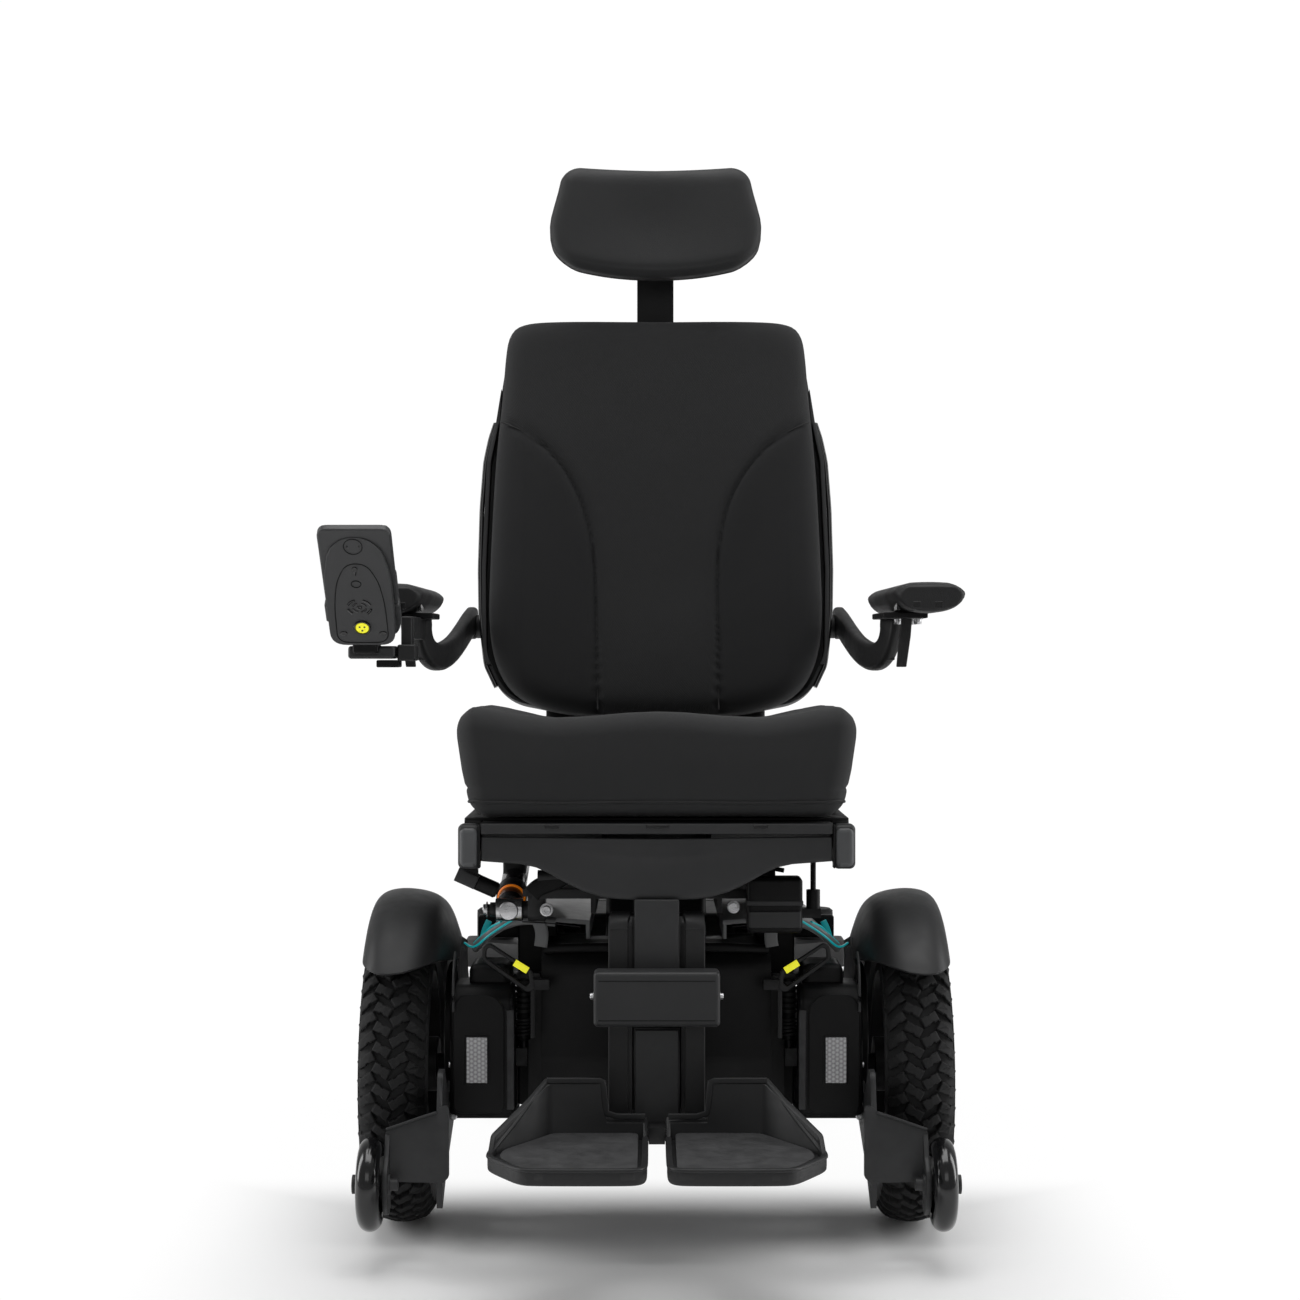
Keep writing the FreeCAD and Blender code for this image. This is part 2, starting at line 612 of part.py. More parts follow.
def caster_ring(half_profile):
    profile = [(CASTER_X + x, *rest) for x, *rest in symmetric(half_profile)]
    return turned(profile, CASTER_WHEEL_Y, CASTER_R)


def caster_hub():
    hub = caster_ring(CASTER_HUB)
    hole = cyl_x(CASTER_X - 20, CASTER_X + 20, CASTER_WHEEL_Y, CASTER_R + 38, 8)
    for i in range(6):
        hub = hub.cut(turn_x(hole, CASTER_WHEEL_Y, CASTER_R, 60 * i))
    return hub.removeSplitter()


save_pair("caster_fork", caster_fork())
save_pair("caster_tyre", caster_ring(CASTER_TYRE))
save_pair("caster_hub", caster_hub())

# ================================================================= tilting seat
RAIL_Z = 466                           # top of the seat rails
PAN_Z = 470.6                          # underside of the seat pan

# (y, z, corner radius)
TILT_HANGER = [(TILT_Y - 14, TILT_Z - 14, 13.9), (TILT_Y + 14, TILT_Z - 14, 13.9),
               (200, 436), (200, RAIL_Z), (TILT_Y - 8, RAIL_Z)]
RECLINE_EAR = [
    (190, 440), (200, 430, 4), (RECL_Y + 16, RECL_Z - 16, 15.9),
    (RECL_Y + 16, RECL_Z + 16, 15.9), (RECL_Y - 14, RECL_Z + 8, 10), (208, RAIL_Z)]
KNEE_EAR = [
    (-150, 420), (-150, RAIL_Z), (-190, RAIL_Z, 6), (-205, 452, 6),
    (KNEE_Y - 12, KNEE_Z + 12, 11.9), (KNEE_Y - 12, KNEE_Z - 12, 11.9),
    (KNEE_Y + 12, KNEE_Z - 16, 8)]
ACT_HANGER = [
    (ACT_REAR_Y - 13, ACT_REAR_Z - 13, 12.9), (ACT_REAR_Y + 13, ACT_REAR_Z - 13, 12.9),
    (190, 440), (190, RAIL_Z), (ACT_REAR_Y - 13, RAIL_Z)]


def seat_frame():
    pieces = []
    for side in SIDES:
        tilt_bore = cyl_x(side * 90, side * 120, TILT_Y, TILT_Z, TILT_PIN_R + RUN)
        recline_ear = prism_yz(RECLINE_EAR, side * 106, side * 117)
        knee_ear = prism_yz(KNEE_EAR, side * 52, side * 58)
        pieces += [
            box(side * 186, side * 206, -225, 205, 428, RAIL_Z),
            prism_yz(TILT_HANGER, side * 102, side * 113).cut(tilt_bore),
            recline_ear.cut(box(-200, 200, 180, 210, RAIL_Z, 500)),
            cyl_x(side * 106, side * 134, RECL_Y, RECL_Z, RECL_PIN_R),
            box(side * 52, side * 60, -188, -150, 420, RAIL_Z).fuse(knee_ear)]
    front_strip = box(-184, 184, -246, -238, 466.6, PAN_Z)
    pieces += [
        cyl_x(-58, 58, KNEE_Y, KNEE_Z, KNEE_PIN_R),
        box(-186, 186, -190, -165, 440, RAIL_Z),
        box(-186, 186, 184, 205, 440, RAIL_Z),
        front_strip.fuse(box(-184, 184, -240, -200, 467, PAN_Z)),
        box(-184, 184, -205, -175, 465, PAN_Z),
        prism_yz(ACT_HANGER, ACT_X - 20, ACT_X - 15.5),
        cyl_x(ACT_X - 24, ACT_X + 12, ACT_REAR_Y, ACT_REAR_Z, ACT_PIN_R),
        box(ACT_X - 25, ACT_X - 15.5, ACT_REAR_Y - 10, ACT_REAR_Y + 60, 440, RAIL_Z)]
    frame = join(*pieces)
    # room around the pin for the eye of the actuator rod
    room = cyl_x(ACT_X - 15.4, ACT_X + 9, ACT_REAR_Y, ACT_REAR_Z, 16.5)
    frame = frame.cut(room.cut(cyl_x(-200, 200, ACT_REAR_Y, ACT_REAR_Z, ACT_PIN_R)))
    for side in SIDES:                                     # accessory slots in the rails
        for y in (-120, 0, 120):
            frame = frame.cut(soft_box(side * 200, side * 210, y - 30, y + 30, 442, 452, 2))
    return frame.removeSplitter()


def seat_pan():
    pan = soft_box(-204, 204, -205, 204, PAN_Z, 474, 1.2)
    pan = pan.cut(box(-184, 184, -205, -172, 470, 470.7))
    for x in (-120, -40, 40, 120):
        for y in (-100, 0, 100):
            pan = pan.cut(soft_box(x - 26, x + 26, y - 14, y + 14, 460, 480, 0.1))
    return join(pan, box(-204, -186, -205, 204, RAIL_Z, 471),
                box(186, 204, -205, 204, RAIL_Z, 471)).removeSplitter()


# cushion sections from front to rear: (y, top z, half width)
CUSHION_STATIONS = [(-244, 560, 196), (-232, 584, 207), (-150, 590, 211), (0, 584, 211),
                    (120, 577, 209), (184, 570, 206), (197, 556, 200)]


def cushion_section(y, top, half):
    points = [(-half + 9, 475, 14), (half - 9, 475, 14), (half, 540, 30), (half - 2, top, 22),
              (half * .55, top - 12, 60), (0, top - 7, 60), (-half * .55, top - 12, 60),
              (-half + 2, top, 22), (-half, 540, 30)]
    return round_wire(points, lambda x, z: Vec(x, y, z))


def seat_cushion():
    # Guards against a loft that fails or is invalid: a plain rounded block then stands in.
    try:
        cushion = Part.makeLoft([cushion_section(*row) for row in CUSHION_STATIONS], True, True)
        usable = cushion.isValid()
    except Exception:
        usable = False
    if not usable:
        cushion = soft_box(-210, 210, -244, 197, 475, 586, 24)
    size = cushion.BoundBox
    if size.ZMin < 474.5 or size.YMax > 199 or size.XMax > 213:
        cushion = cushion.common(box(-212, 212, -247, 199, 474.5, 596))
    return cushion


save("seat_frame", seat_frame())
save("seat_pan", seat_pan())
save("rail_end_caps",
     *[soft_box(side * 184.6, side * 208, -246, -225, 423, 470, 6) for side in SIDES])
save("seat_cushion", seat_cushion())

# ================================================================= leg rest
# left half, (x, z, corner radius)
KNEE_COVER = [(183.5, 453.4, 3), (183.5, 430, 8), (132, 426, 30), (96, 404, 40), (52, 391, 30)]
# (y, z, corner radius)
COLUMN_CHEEK = [(-250, 166), (-250, 366, 6), (-243, 374, 4), (-210, 374), (-210, 166)]


def legrest_column():
    front_plate = box(-24, 24, -238.5, -214, 360, 450).cut(box(-24, 24, -236, -214, 350, 401))
    column = join(*[prism_yz(COLUMN_CHEEK, side * 25.5, side * 50) for side in SIDES],
                  box(-50, 50, -214, -207, 166, 374),
                  box(-24, 24, -250, -236, 262, 374),
                  box(-26, 26, -248, -240, 262, 374),
                  box(-24, 24, -233, -213, 402, 440),
                  cyl_x(-24, 24, KNEE_Y, KNEE_Z, 14),
                  front_plate,
                  box(-24, -20, -238, -208, 366, 430),
                  box(20, 24, -238, -208, 366, 430))
    return carve(column, cyl_x(-30, 30, KNEE_Y, KNEE_Z, KNEE_PIN_R + RUN),
                 box(-19.9, 19.9, -236, -214, 160, 401)).removeSplitter()


def calf_housing():
    return join(soft_box(-64, 64, -285, -254, 265, 321, 7),
                soft_box(-60, 60, -256, -250, 270, 320, 1),
                *[cyl_x(side * 63, side * 68, -268, 294, 3.5) for side in SIDES]
                ).removeSplitter()


def legrest_carriage():
    carriage = join(box(-19, 19, -235, -215, 150, 398),
                    box(-24, 24, -249, -235, 150, 258),
                    soft_box(-50, 50, -248.5, -210, 141, 163, 3),
                    box(-8.5, 8.5, -281, -246, 143, 160),
                    cyl_x(-112, 112, FOOT_Y, FOOT_Z, FOOT_PIN_R))
    return carriage.cut(cyl_z(139, 147, 0, -228, 3)).removeSplitter()


# (x, y, corner radius) of the left footplate and of the hollow inside its rim
PLATE_OUTER = [(10, -281), (10, -436, 14), (24, -446, 10), (132, -446, 34), (168, -384, 22),
               (166, -352, 12), (114, -281, 10)]
PLATE_INNER = [(14, -286), (14, -434, 12), (27, -442, 8), (129, -442, 30), (163.5, -384, 20),
               (161.5, -354, 10), (110, -286, 8)]
# (y, z) of what is cut off the rim, along its length and near the middle
RIM_CUT = [(-281, 209), (-281, 260), (-480, 260), (-480, 152), (-384, 152), (-372, 156)]
RIM_CUT_MIDDLE = [(-280, 172), (-280, 260), (-480, 260), (-480, 152), (-300, 152)]


def footplate():
    plate = carve(prism_xy(PLATE_OUTER, 143, 212), prism_xy(PLATE_INNER, 148.5, 220),
                  prism_yz(RIM_CUT, 0, 200),
                  box(0, 52, -290, -270, 172, 260),
                  prism_yz(RIM_CUT_MIDDLE, 0, 52),
                  box(0, 52, -290, -275, 100, 143))
    barrel = cyl_x(55, 110, FOOT_Y, FOOT_Z, 9).fuse(box(55, 110, -284, -272, 143, 158))
    bore = cyl_x(-120, 120, FOOT_Y, FOOT_Z, FOOT_PIN_R + RUN)
    return plate.fuse(barrel).cut(bore).removeSplitter()


save("knee_cover", prism_xz(symmetric(KNEE_COVER), -244.5, -238.5))
save("legrest_column", legrest_column())
save("calf_housing", calf_housing())
save("legrest_carriage", legrest_carriage())
save_pair("footplate", footplate())


# ================================================================= backrest and headrest
def lean(shape):
    """Tip a shape modelled upright back to the angle of the backrest."""
    return turn_x(shape, LEAN_Y, LEAN_Z, -LEAN)


# (y, z, corner radius)
BACK_EAR = [
    (RECL_Y - 16, RECL_Z - 16, 15.9), (RECL_Y + 10, RECL_Z - 16, 12), (296, 520), (302, 560),
    (276, 560), (RECL_Y - 16, RECL_Z + 16, 15.9)]


def back_frame():
    pieces = []
    for side in SIDES:
        pieces += [
            lean(box(side * 121, side * 139, 288, 306, 520, 1040)),
            prism_yz(BACK_EAR, side * 121, side * 132),
            cyl_x(side * 139, side * 246, ARMREST_Y, ARMREST_Z, ARMREST_PIN_R),
            cyl_x(side * 130, side * 229, ARMREST_Y, ARMREST_Z, 15)]
    post_slot = lean(box(-21.1, 21.1, 288, 308, 900, 1100))
    socket = box(-30, 30, 288, 312, 960, 1052).cut(box(-21.1, 21.1, 292.9, 307.1, 900, 1100))
    pieces += [
        lean(box(-139, 139, 290, 304, 560, 584)),
        lean(box(-139, 139, 290, 304, 1000, 1030)).cut(post_slot),
        cyl_x(-140, 140, ARMREST_Y, ARMREST_Z, 12),
        lean(socket)]
    return carve(join(*pieces),
                 cyl_x(-140, -118, RECL_Y, RECL_Z, RECL_PIN_R + RUN),
                 cyl_x(118, 140, RECL_Y, RECL_Z, RECL_PIN_R + RUN)).removeSplitter()


# left halves of the outlines, (x, z, corner radius)
BACK_CUSHION = [(80, 574, 20), (130, 584, 40), (190, 606, 60), (206, 660, 80), (206, 760, 120),
                (200, 880, 120), (193, 980, 60), (188, 1074, 26)]
BACK_SHELL = [(100, 578, 20), (190, 596, 60), (217, 650, 60), (219, 760, 90), (214, 900, 60),
              (204, 952, 20), (188, 1060, 20)]
FRONT_CAVITY = [(100, 574, 20), (186, 600, 60), (212, 652, 60), (214, 760, 90), (209, 900, 60),
                (199, 950, 20), (193.5, 1100, 2)]
DEEP_CAVITY = [(100, 574, 20), (180, 606, 60), (206, 656, 60), (208, 760, 90), (203, 900, 60),
               (193, 946, 20), (176, 1046, 20)]
HEADREST_PAD = [(60, 1124, 60), (104, 1136, 30), (131, 1158, 22), (131, 1184, 30),
                (114, 1250, 18), (60, 1257, 60)]


def back_cushion():
    cushion = prism_xz(symmetric(BACK_CUSHION), 202, 262)
    cushion = soften(cushion, 18,
                     lambda edge: edge.BoundBox.YLength < .1 and edge.BoundBox.YMin < 203)
    return lean(cushion)


def back_shell(frame):
    """Shell behind the cushion, with a web left across its hollow, cleared of the frame."""
    shell = prism_xz(symmetric(BACK_SHELL), 236, 286)
    shell = soften(shell, 12,
                   lambda edge: edge.BoundBox.YLength < .1 and edge.BoundBox.YMin > 280)
    web = box(-184, 184, 262, 266, 570, 1080)
    shell = carve(shell, prism_xz(symmetric(FRONT_CAVITY), 230, 263),
                  prism_xz(symmetric(DEEP_CAVITY), 230, 281).cut(web),
                  box(-300, 300, 200, 242, 500, 640),
                  box(-300, 300, 200, 250, 950, 1100))
    shell = lean(shell)
    return shell.cut(frame) if shell.common(frame).Volume > 0 else shell


# (y, z, corner radius) of the bracket from the post up to the headrest pivot
POST_BRACKET = [(371, 1090), (386, 1092), (385, 1128, 8), (352, 1176, 8), (334, 1164, 8),
                (366, 1120, 4)]
PAD_EAR = [(300, 1146, 4), (300, 1190, 4), (HEAD_Y + 11, HEAD_Z + 11, 10.9),
           (HEAD_Y + 11, HEAD_Z - 11, 10.9)]


def headrest_post():
    return join(lean(box(-21, 21, 293, 307, 905, 1140)),
                prism_yz(POST_BRACKET, -8, 8),
                cyl_x(-19, 19, HEAD_Y, HEAD_Z, 10),
                cyl_x(-29, 29, HEAD_Y, HEAD_Z, HEAD_PIN_R)).removeSplitter()


def headrest_pad():
    pad = prism_xz(symmetric(HEADREST_PAD), 242, 300)
    pad = soften(pad, 16, lambda edge: edge.BoundBox.YLength < .1)
    pad = join(pad, soft_box(-60, 60, 296, 318, 1140, 1210, 5),
               *[prism_yz(PAD_EAR, side * 20, side * 28) for side in SIDES])
    return pad.cut(cyl_x(-40, 40, HEAD_Y, HEAD_Z, HEAD_PIN_R + RUN)).removeSplitter()


frame_of_back = back_frame()
save("back_frame", frame_of_back)
save("back_cushion", back_cushion())
save("back_shell", back_shell(frame_of_back))
save("headrest_post", headrest_post())
save("headrest_pad", headrest_pad())

# ================================================================= armrests
LEFT_PAD_Y, RIGHT_PAD_Y = -130.0, -70.0    # front ends of the pads

# (x, y, z) along the bent tube
ARM_TUBE = [(240, ARMREST_Y, ARMREST_Z), (243, 250, 664), (254, 170, 640), (268, 110, 632),
            (284, 60, 640), (294, 30, 662)]
# (y, z, corner radius)
ARM_GUSSET = [(44, 652), (30, 690), (-24, 690), (-24, 676, 6), (8, 664, 6), (20, 648, 4)]


def armrest_arm(front_y):
    """Left-hand arm, seams kept."""
    arm = join(cyl_x(229.3, 250, ARMREST_Y, ARMREST_Z, 19),
               bent_rod(ARM_TUBE, 11),
               prism_yz(ARM_GUSSET, 288, 300),
               box(270, 318, front_y + 40, 170, 682, 690),
               box(288, 300, front_y + 30, 180, 672, 690),
               box(271, 285, -28, -22, 634, 690),
               cyl_x(268, 292, -25, 655, 4),
               box(271, 300, -28, -16, 676, 690))
    for y in (-10, 120):
        arm = join(arm, cyl_z(664, 690, 279, y, 4), cyl_z(664, 690, 309, y, 4),
                   box(274, 314, y - 5, y + 5, 680, 690))
    return arm.cut(cyl_x(220, 248, ARMREST_Y, ARMREST_Z, ARMREST_PIN_R + RUN))


def armrest_pad(front_y):
    pad = soft_box(262, 340, front_y, 230, 692, 725, 12)
    pad = pad.fuse(soft_box(270, 332, front_y + 14, 216, 690, 700, 1))
    for y in range(int(front_y) + 30, 200, 24):
        pad = pad.cut(box(302, 328, y, y + 12, 689, 691))
    return pad


def right_arm():
    """Mirrored arm with the joystick bracket, cut clear around the mount."""
    arm = join(mirror_x(armrest_arm(RIGHT_PAD_Y)),
               box(-293, -281, -100, 24, 664, 676),
               box(-293, -281, -128, -96, 641, 676),
               cyl_z(630, 642, JOY_X, JOY_Y, 24),
               box(-318, -281, -134, -104, 632, 642),
               cyl_z(640, 652, JOY_X, JOY_Y, JOY_POST_R))
    post = cyl_z(600, 700, JOY_X, JOY_Y, JOY_POST_R)
    room = carve(box(-360, -200, -300, -60.5, 642, 800),
                 box(-296, -270, -300, -60, 600, 676), post)
    return carve(arm, room, cyl_z(642, 700, JOY_X, JOY_Y, 25.5).cut(post))


arm_left = armrest_arm(LEFT_PAD_Y)
save("armrest_arm_left", arm_left.removeSplitter())
save("armrest_pad_left", armrest_pad(LEFT_PAD_Y).cut(arm_left))
arm_right = right_arm().removeSplitter()
save("armrest_arm_right", arm_right)
save("armrest_pad_right", mirror_x(armrest_pad(RIGHT_PAD_Y)).cut(arm_right))

# ================================================================= joystick
# The module is modelled flat about its own origin, top up, then placed and pitched so
# that its front end is up.
STICK_Y = 32
BALL_Z = 10.0                          # pivot ball of the stick

# (x, y, corner radius)
HOUSING = [(-37, 70, 22), (37, 70, 22), (37, -30, 8), (40, -78, 8), (-40, -78, 8), (-37, -30, 8)]


def pitched(shape):
    placed = shape.copy()
    placed.translate(Vec(JOY_X, MODULE_Y, MODULE_Z))
    return turn_x(placed, MODULE_Y, MODULE_Z, -JOY_ANGLE)


def joystick_housing():
    case = soften(prism_xy(HOUSING, -16, 16), 5, lambda edge: edge.BoundBox.ZLength < .1)
    case = case.fuse(soft_box(-41, 41, -88, -8, 6, 17, 3))
    case = carve(case, soft_box(-35, 35, -82, -28, 15.5, 20, .4),    # screen recess
                 cyl_z(0, 30, 0, STICK_Y, 22),
                 box(-8, 8, -20.5, -9.5, 9, 20))
    case = case.fuse(cyl_z(-6, -3, 0, STICK_Y, 22)).cut(cyl_z(-17, -12, 0, 44, 9))
    return join(case, cyl_z(-16, -12, 0, 44, 6.5),
                soft_box(-42, -36, 20, 48, -6, 6, 2),
                soft_box(36, 42, 20, 48, -6, 6, 2)).removeSplitter()


def upright_cone(low_radius, high_radius, height, z):
    return Part.makeCone(low_radius, high_radius, height, Vec(0, STICK_Y, z), Vec(0, 0, 1))


def stick_ball(radius, z):
    return Part.makeSphere(radius, Vec(0, STICK_Y, z))


def joystick_boot():
    boot = stick_ball(11, BALL_Z).fuse(upright_cone(15, 10, 6, BALL_Z + 6))
    return carve(boot, box(-30, 30, 0, 60, -30, BALL_Z - 9),
                 cyl_z(BALL_Z - 20, BALL_Z + 30, 0, STICK_Y, 8.6)).removeSplitter()


def joystick_stick():
    return join(cyl_z(BALL_Z + 2, BALL_Z + 34, 0, STICK_Y, 4.5),
                upright_cone(7, 12, 22, BALL_Z + 26),
                stick_ball(12.2, BALL_Z + 47),
                stick_ball(5.6, BALL_Z)).removeSplitter()


def joystick_mount():
    mount = join(cyl_z(642.2, 656, JOY_X, JOY_Y, 25),
                 box(JOY_X - 14, JOY_X + 14, -176, JOY_Y, 644, 654),
                 box(JOY_X - 14, JOY_X + 14, -182, -164, 644, 716))
    return carve(mount, pitched(box(-60, 60, -90, 70.5, -16, 60)),
                 cyl_z(630, 653, JOY_X, JOY_Y, JOY_POST_R + RUN)).removeSplitter()


screen = soft_box(-34, 34, -81, -29, 15.5, 16.5, .3)
save("joystick_housing", pitched(joystick_housing()), pitched(screen))
save("joystick_boot", pitched(joystick_boot()))
save("joystick_stick", pitched(joystick_stick()))
save("joystick_button", pitched(soft_box(-7, 7, -19.5, -10.5, 12.1, 18.5, .8)))
save("joystick_mount", joystick_mount())
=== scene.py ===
"""A powered wheelchair: covers, cushions, tyres, fittings and finishes over its CAD frame.

Sizes are millimetres until they reach a mesh. The chair faces -y, its left side is +x and
z is up from the floor. The drive axle lies at y = 0; world() shifts and scales to metres.
"""
import bpy
import bmesh
import math
import random
import numpy as np
from mathutils import Vector, Matrix

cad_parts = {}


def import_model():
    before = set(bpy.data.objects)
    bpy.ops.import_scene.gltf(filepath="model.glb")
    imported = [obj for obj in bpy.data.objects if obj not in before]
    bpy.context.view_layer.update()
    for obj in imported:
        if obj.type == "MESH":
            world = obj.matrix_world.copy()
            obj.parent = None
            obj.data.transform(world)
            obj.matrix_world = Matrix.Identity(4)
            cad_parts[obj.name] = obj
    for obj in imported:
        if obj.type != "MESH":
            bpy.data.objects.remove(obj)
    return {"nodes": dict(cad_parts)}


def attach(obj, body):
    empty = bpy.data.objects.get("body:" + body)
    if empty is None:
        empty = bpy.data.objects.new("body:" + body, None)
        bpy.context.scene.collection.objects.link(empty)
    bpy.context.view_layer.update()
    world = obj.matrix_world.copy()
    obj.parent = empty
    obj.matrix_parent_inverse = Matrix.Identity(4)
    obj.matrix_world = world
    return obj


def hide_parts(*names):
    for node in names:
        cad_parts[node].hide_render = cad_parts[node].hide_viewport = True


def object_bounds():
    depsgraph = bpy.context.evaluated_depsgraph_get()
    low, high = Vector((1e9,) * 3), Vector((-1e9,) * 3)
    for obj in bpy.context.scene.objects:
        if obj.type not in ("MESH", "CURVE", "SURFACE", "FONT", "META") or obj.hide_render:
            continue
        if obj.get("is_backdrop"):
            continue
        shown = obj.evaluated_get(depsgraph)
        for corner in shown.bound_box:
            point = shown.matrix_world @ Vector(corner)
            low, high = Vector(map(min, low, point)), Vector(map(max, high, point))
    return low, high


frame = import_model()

random.seed(7)
BOX0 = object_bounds()
scene = bpy.context.scene

SHIFT_Y = -134.5            # moves the drive axle forward in the world
AXLE_Z = 177                # height of the drive axle
X_AXIS, Y_AXIS, Z_AXIS = (1, 0, 0), (0, 1, 0), (0, 0, 1)
SIDES = (("left", 1), ("right", -1))


def world(p):
    return (p[0] / 1000.0, (p[1] + SHIFT_Y) / 1000.0, p[2] / 1000.0)


def from_world(p):
    return (p[0] * 1000, p[1] * 1000 - SHIFT_Y, p[2] * 1000)


# ------------------------------------------------------------------ materials
def tint(colour, gain=1, lift=0):
    """RGBA of a colour, scaled and lifted."""
    return tuple(min(1, c * gain + lift) for c in colour) + (1,)


class Shader:
    """A node material with its Principled shader and its object coordinates."""

    def __init__(self, name):
        self.material = bpy.data.materials.new(name)
        self.material.use_nodes = True
        self.tree = self.material.node_tree
        self.surface = self.tree.nodes["Principled BSDF"]
        self.place = self.add("ShaderNodeTexCoord", {}).outputs["Object"]

    def feed(self, node, inputs):
        """Links sockets and sets plain values."""
        for key, value in inputs.items():
            if isinstance(value, bpy.types.NodeSocket):
                self.tree.links.new(value, node.inputs[key])
            else:
                node.inputs[key].default_value = value

    def add(self, kind, inputs, **settings):
        node = self.tree.nodes.new(kind)
        for key, value in settings.items():
            setattr(node, key, value)
        self.feed(node, inputs)
        return node

    def finish(self, **inputs):
        """Feeds the Principled shader; underscores stand for spaces."""
        self.feed(self.surface, {k.replace("_", " "): v for k, v in inputs.items()})
        return self.material

    def noise(self, scale, detail=4.0, rough=0.55, at=None):
        return self.add("ShaderNodeTexNoise", {
            "Scale": scale, "Detail": detail, "Roughness": rough,
            "Vector": at or self.place}).outputs["Fac"]

    def remap(self, value, low, high, to=(0.0, 1.0), blend="LINEAR"):
        return self.add("ShaderNodeMapRange", {
            "Value": value, "From Min": low, "From Max": high,
            "To Min": to[0], "To Max": to[1]}, interpolation_type=blend).outputs["Result"]

    def mix(self, factor, a, b, blend="MIX"):
        return self.add("ShaderNodeMix", {"Factor": factor, "A": a, "B": b},
                        data_type="RGBA", blend_type=blend).outputs["Result"]

    def calc(self, operation, *values):
        return self.add("ShaderNodeMath", dict(enumerate(values)),
                        operation=operation).outputs[0]

    def axes(self):
        return self.add("ShaderNodeSeparateXYZ", {0: self.place}).outputs

    def bump(self, height, strength, distance, under=None):
        inputs = {"Strength": strength, "Distance": distance, "Height": height}
        if under is not None:
            inputs["Normal"] = under
        return self.add("ShaderNodeBump", inputs).outputs["Normal"]

    def vary(self, noise, rough, less, more):
        """Roughness that drifts with a noise."""
        return self.remap(noise, 0.3, 0.7, (rough - less, rough + more))


def plastic(name, colour, rough, grain=1400.0, grain_depth=0.12, coat=0.0, edge_highlight=0.25, spec=0.5):
    """Moulded or painted surface with fine grain, scuffed roughness and a painted highlight that
    lightens the high edges.
    """
    s = Shader(name)
    patches = s.noise(9.0, 5.0)
    fine = s.noise(grain, 2.0)
    scuff_and_highlight_noise = s.noise(60.0, 6.0, 0.65)
    base = s.mix(s.remap(patches, 0.3, 0.7), tint(colour, 0.90), tint(colour, 1.10, 0.001))
    # painted highlight: high edges, found by pointiness, are lightened in the base colour, broken up
    # by the noise
    edges = s.add("ShaderNodeNewGeometry", {}).outputs["Pointiness"]
    painted_edge_highlight = s.calc("MULTIPLY", s.remap(edges, 0.51, 0.60, (0.0, edge_highlight)),
                    s.remap(scuff_and_highlight_noise, 0.35, 0.65, (0.3, 1.0)))
    return s.finish(
        Base_Color=s.mix(painted_edge_highlight, base, tint(colour, 1.7, 0.02)),
        Roughness=s.vary(scuff_and_highlight_noise, rough, 0.05, 0.07),
        Specular_IOR_Level=spec, Coat_Weight=coat, Coat_Roughness=0.08,
        Normal=s.bump(fine, grain_depth, 0.0002))


def metal(name, colour, rough):
    """Bare metal, brushed along z."""
    s = Shader(name)
    stretched = s.add("ShaderNodeMapping", {"Scale": (1.0, 1.0, 30.0), "Vector": s.place})
    brushed = s.noise(120.0, 3.0, at=stretched.outputs["Vector"])
    return s.finish(
        Base_Color=s.mix(s.noise(40.0, 4.0), tint(colour, 0.82), tint(colour)),
        Metallic=1.0, Roughness=s.vary(brushed, rough, 0.06, 0.12),
        Normal=s.bump(brushed, 0.05, 0.0002))


def weave(name, colour, period, rough, depth, sheen):
    """Cloth; warp and weft both lean on y so that the weave shows on every face."""
    s = Shader(name)
    axes = s.axes()
    rate = 2 * math.pi / period
    leant = s.calc("ADD", axes["X"], s.calc("MULTIPLY", axes["Y"], 0.35))
    warp = s.calc("MULTIPLY", leant, rate)
    weft = s.calc("MULTIPLY", s.calc("ADD", axes["Z"], axes["Y"]), rate)
    cross = s.calc("MULTIPLY", s.calc("SINE", warp), s.calc("SINE", weft))
    twill = s.calc("SINE", s.calc("ADD", warp, weft))
    height = s.calc("ADD", s.calc("MULTIPLY", cross, 0.6), s.calc("MULTIPLY", twill, 0.25))
    fuzz = s.noise(2600.0, 2.0)
    height = s.calc("ADD", height, s.calc("MULTIPLY", fuzz, 0.5))
    threads = s.mix(s.remap(height, -0.6, 0.9), tint(colour, 0.72), tint(colour, 1.22))
    patches = s.mix(s.noise(14.0, 5.0), (0.8, 0.8, 0.8, 1), (1.1, 1.1, 1.1, 1))
    return s.finish(
        Base_Color=s.mix(0.5, threads, patches, "MULTIPLY"),
        Roughness=s.vary(fuzz, rough, 0.06, 0.08),
        Specular_IOR_Level=0.25, Sheen_Weight=sheen, Sheen_Roughness=0.5,
        Normal=s.bump(s.noise(22.0, 3.0), 0.12, 0.004, under=s.bump(height, depth, 0.0003)))


def hide(name, colour, rough, cell=700.0, depth=0.25):
    """Skinned foam or coated upholstery with a pebbled grain."""
    s = Shader(name)
    cells = s.add("ShaderNodeTexVoronoi", {"Scale": cell, "Vector": s.place},
                  feature="DISTANCE_TO_EDGE")
    pebble = s.remap(cells.outputs["Distance"], 0.0, 0.18)
    patches = s.noise(16.0, 5.0)
    return s.finish(
        Base_Color=s.mix(patches, tint(colour, 0.85), tint(colour, 1.12)),
        Roughness=s.vary(patches, rough, 0.06, 0.08), Specular_IOR_Level=0.35,
        Normal=s.bump(s.noise(30.0, 3.0), 0.08, 0.003, under=s.bump(pebble, depth, 0.0003)))


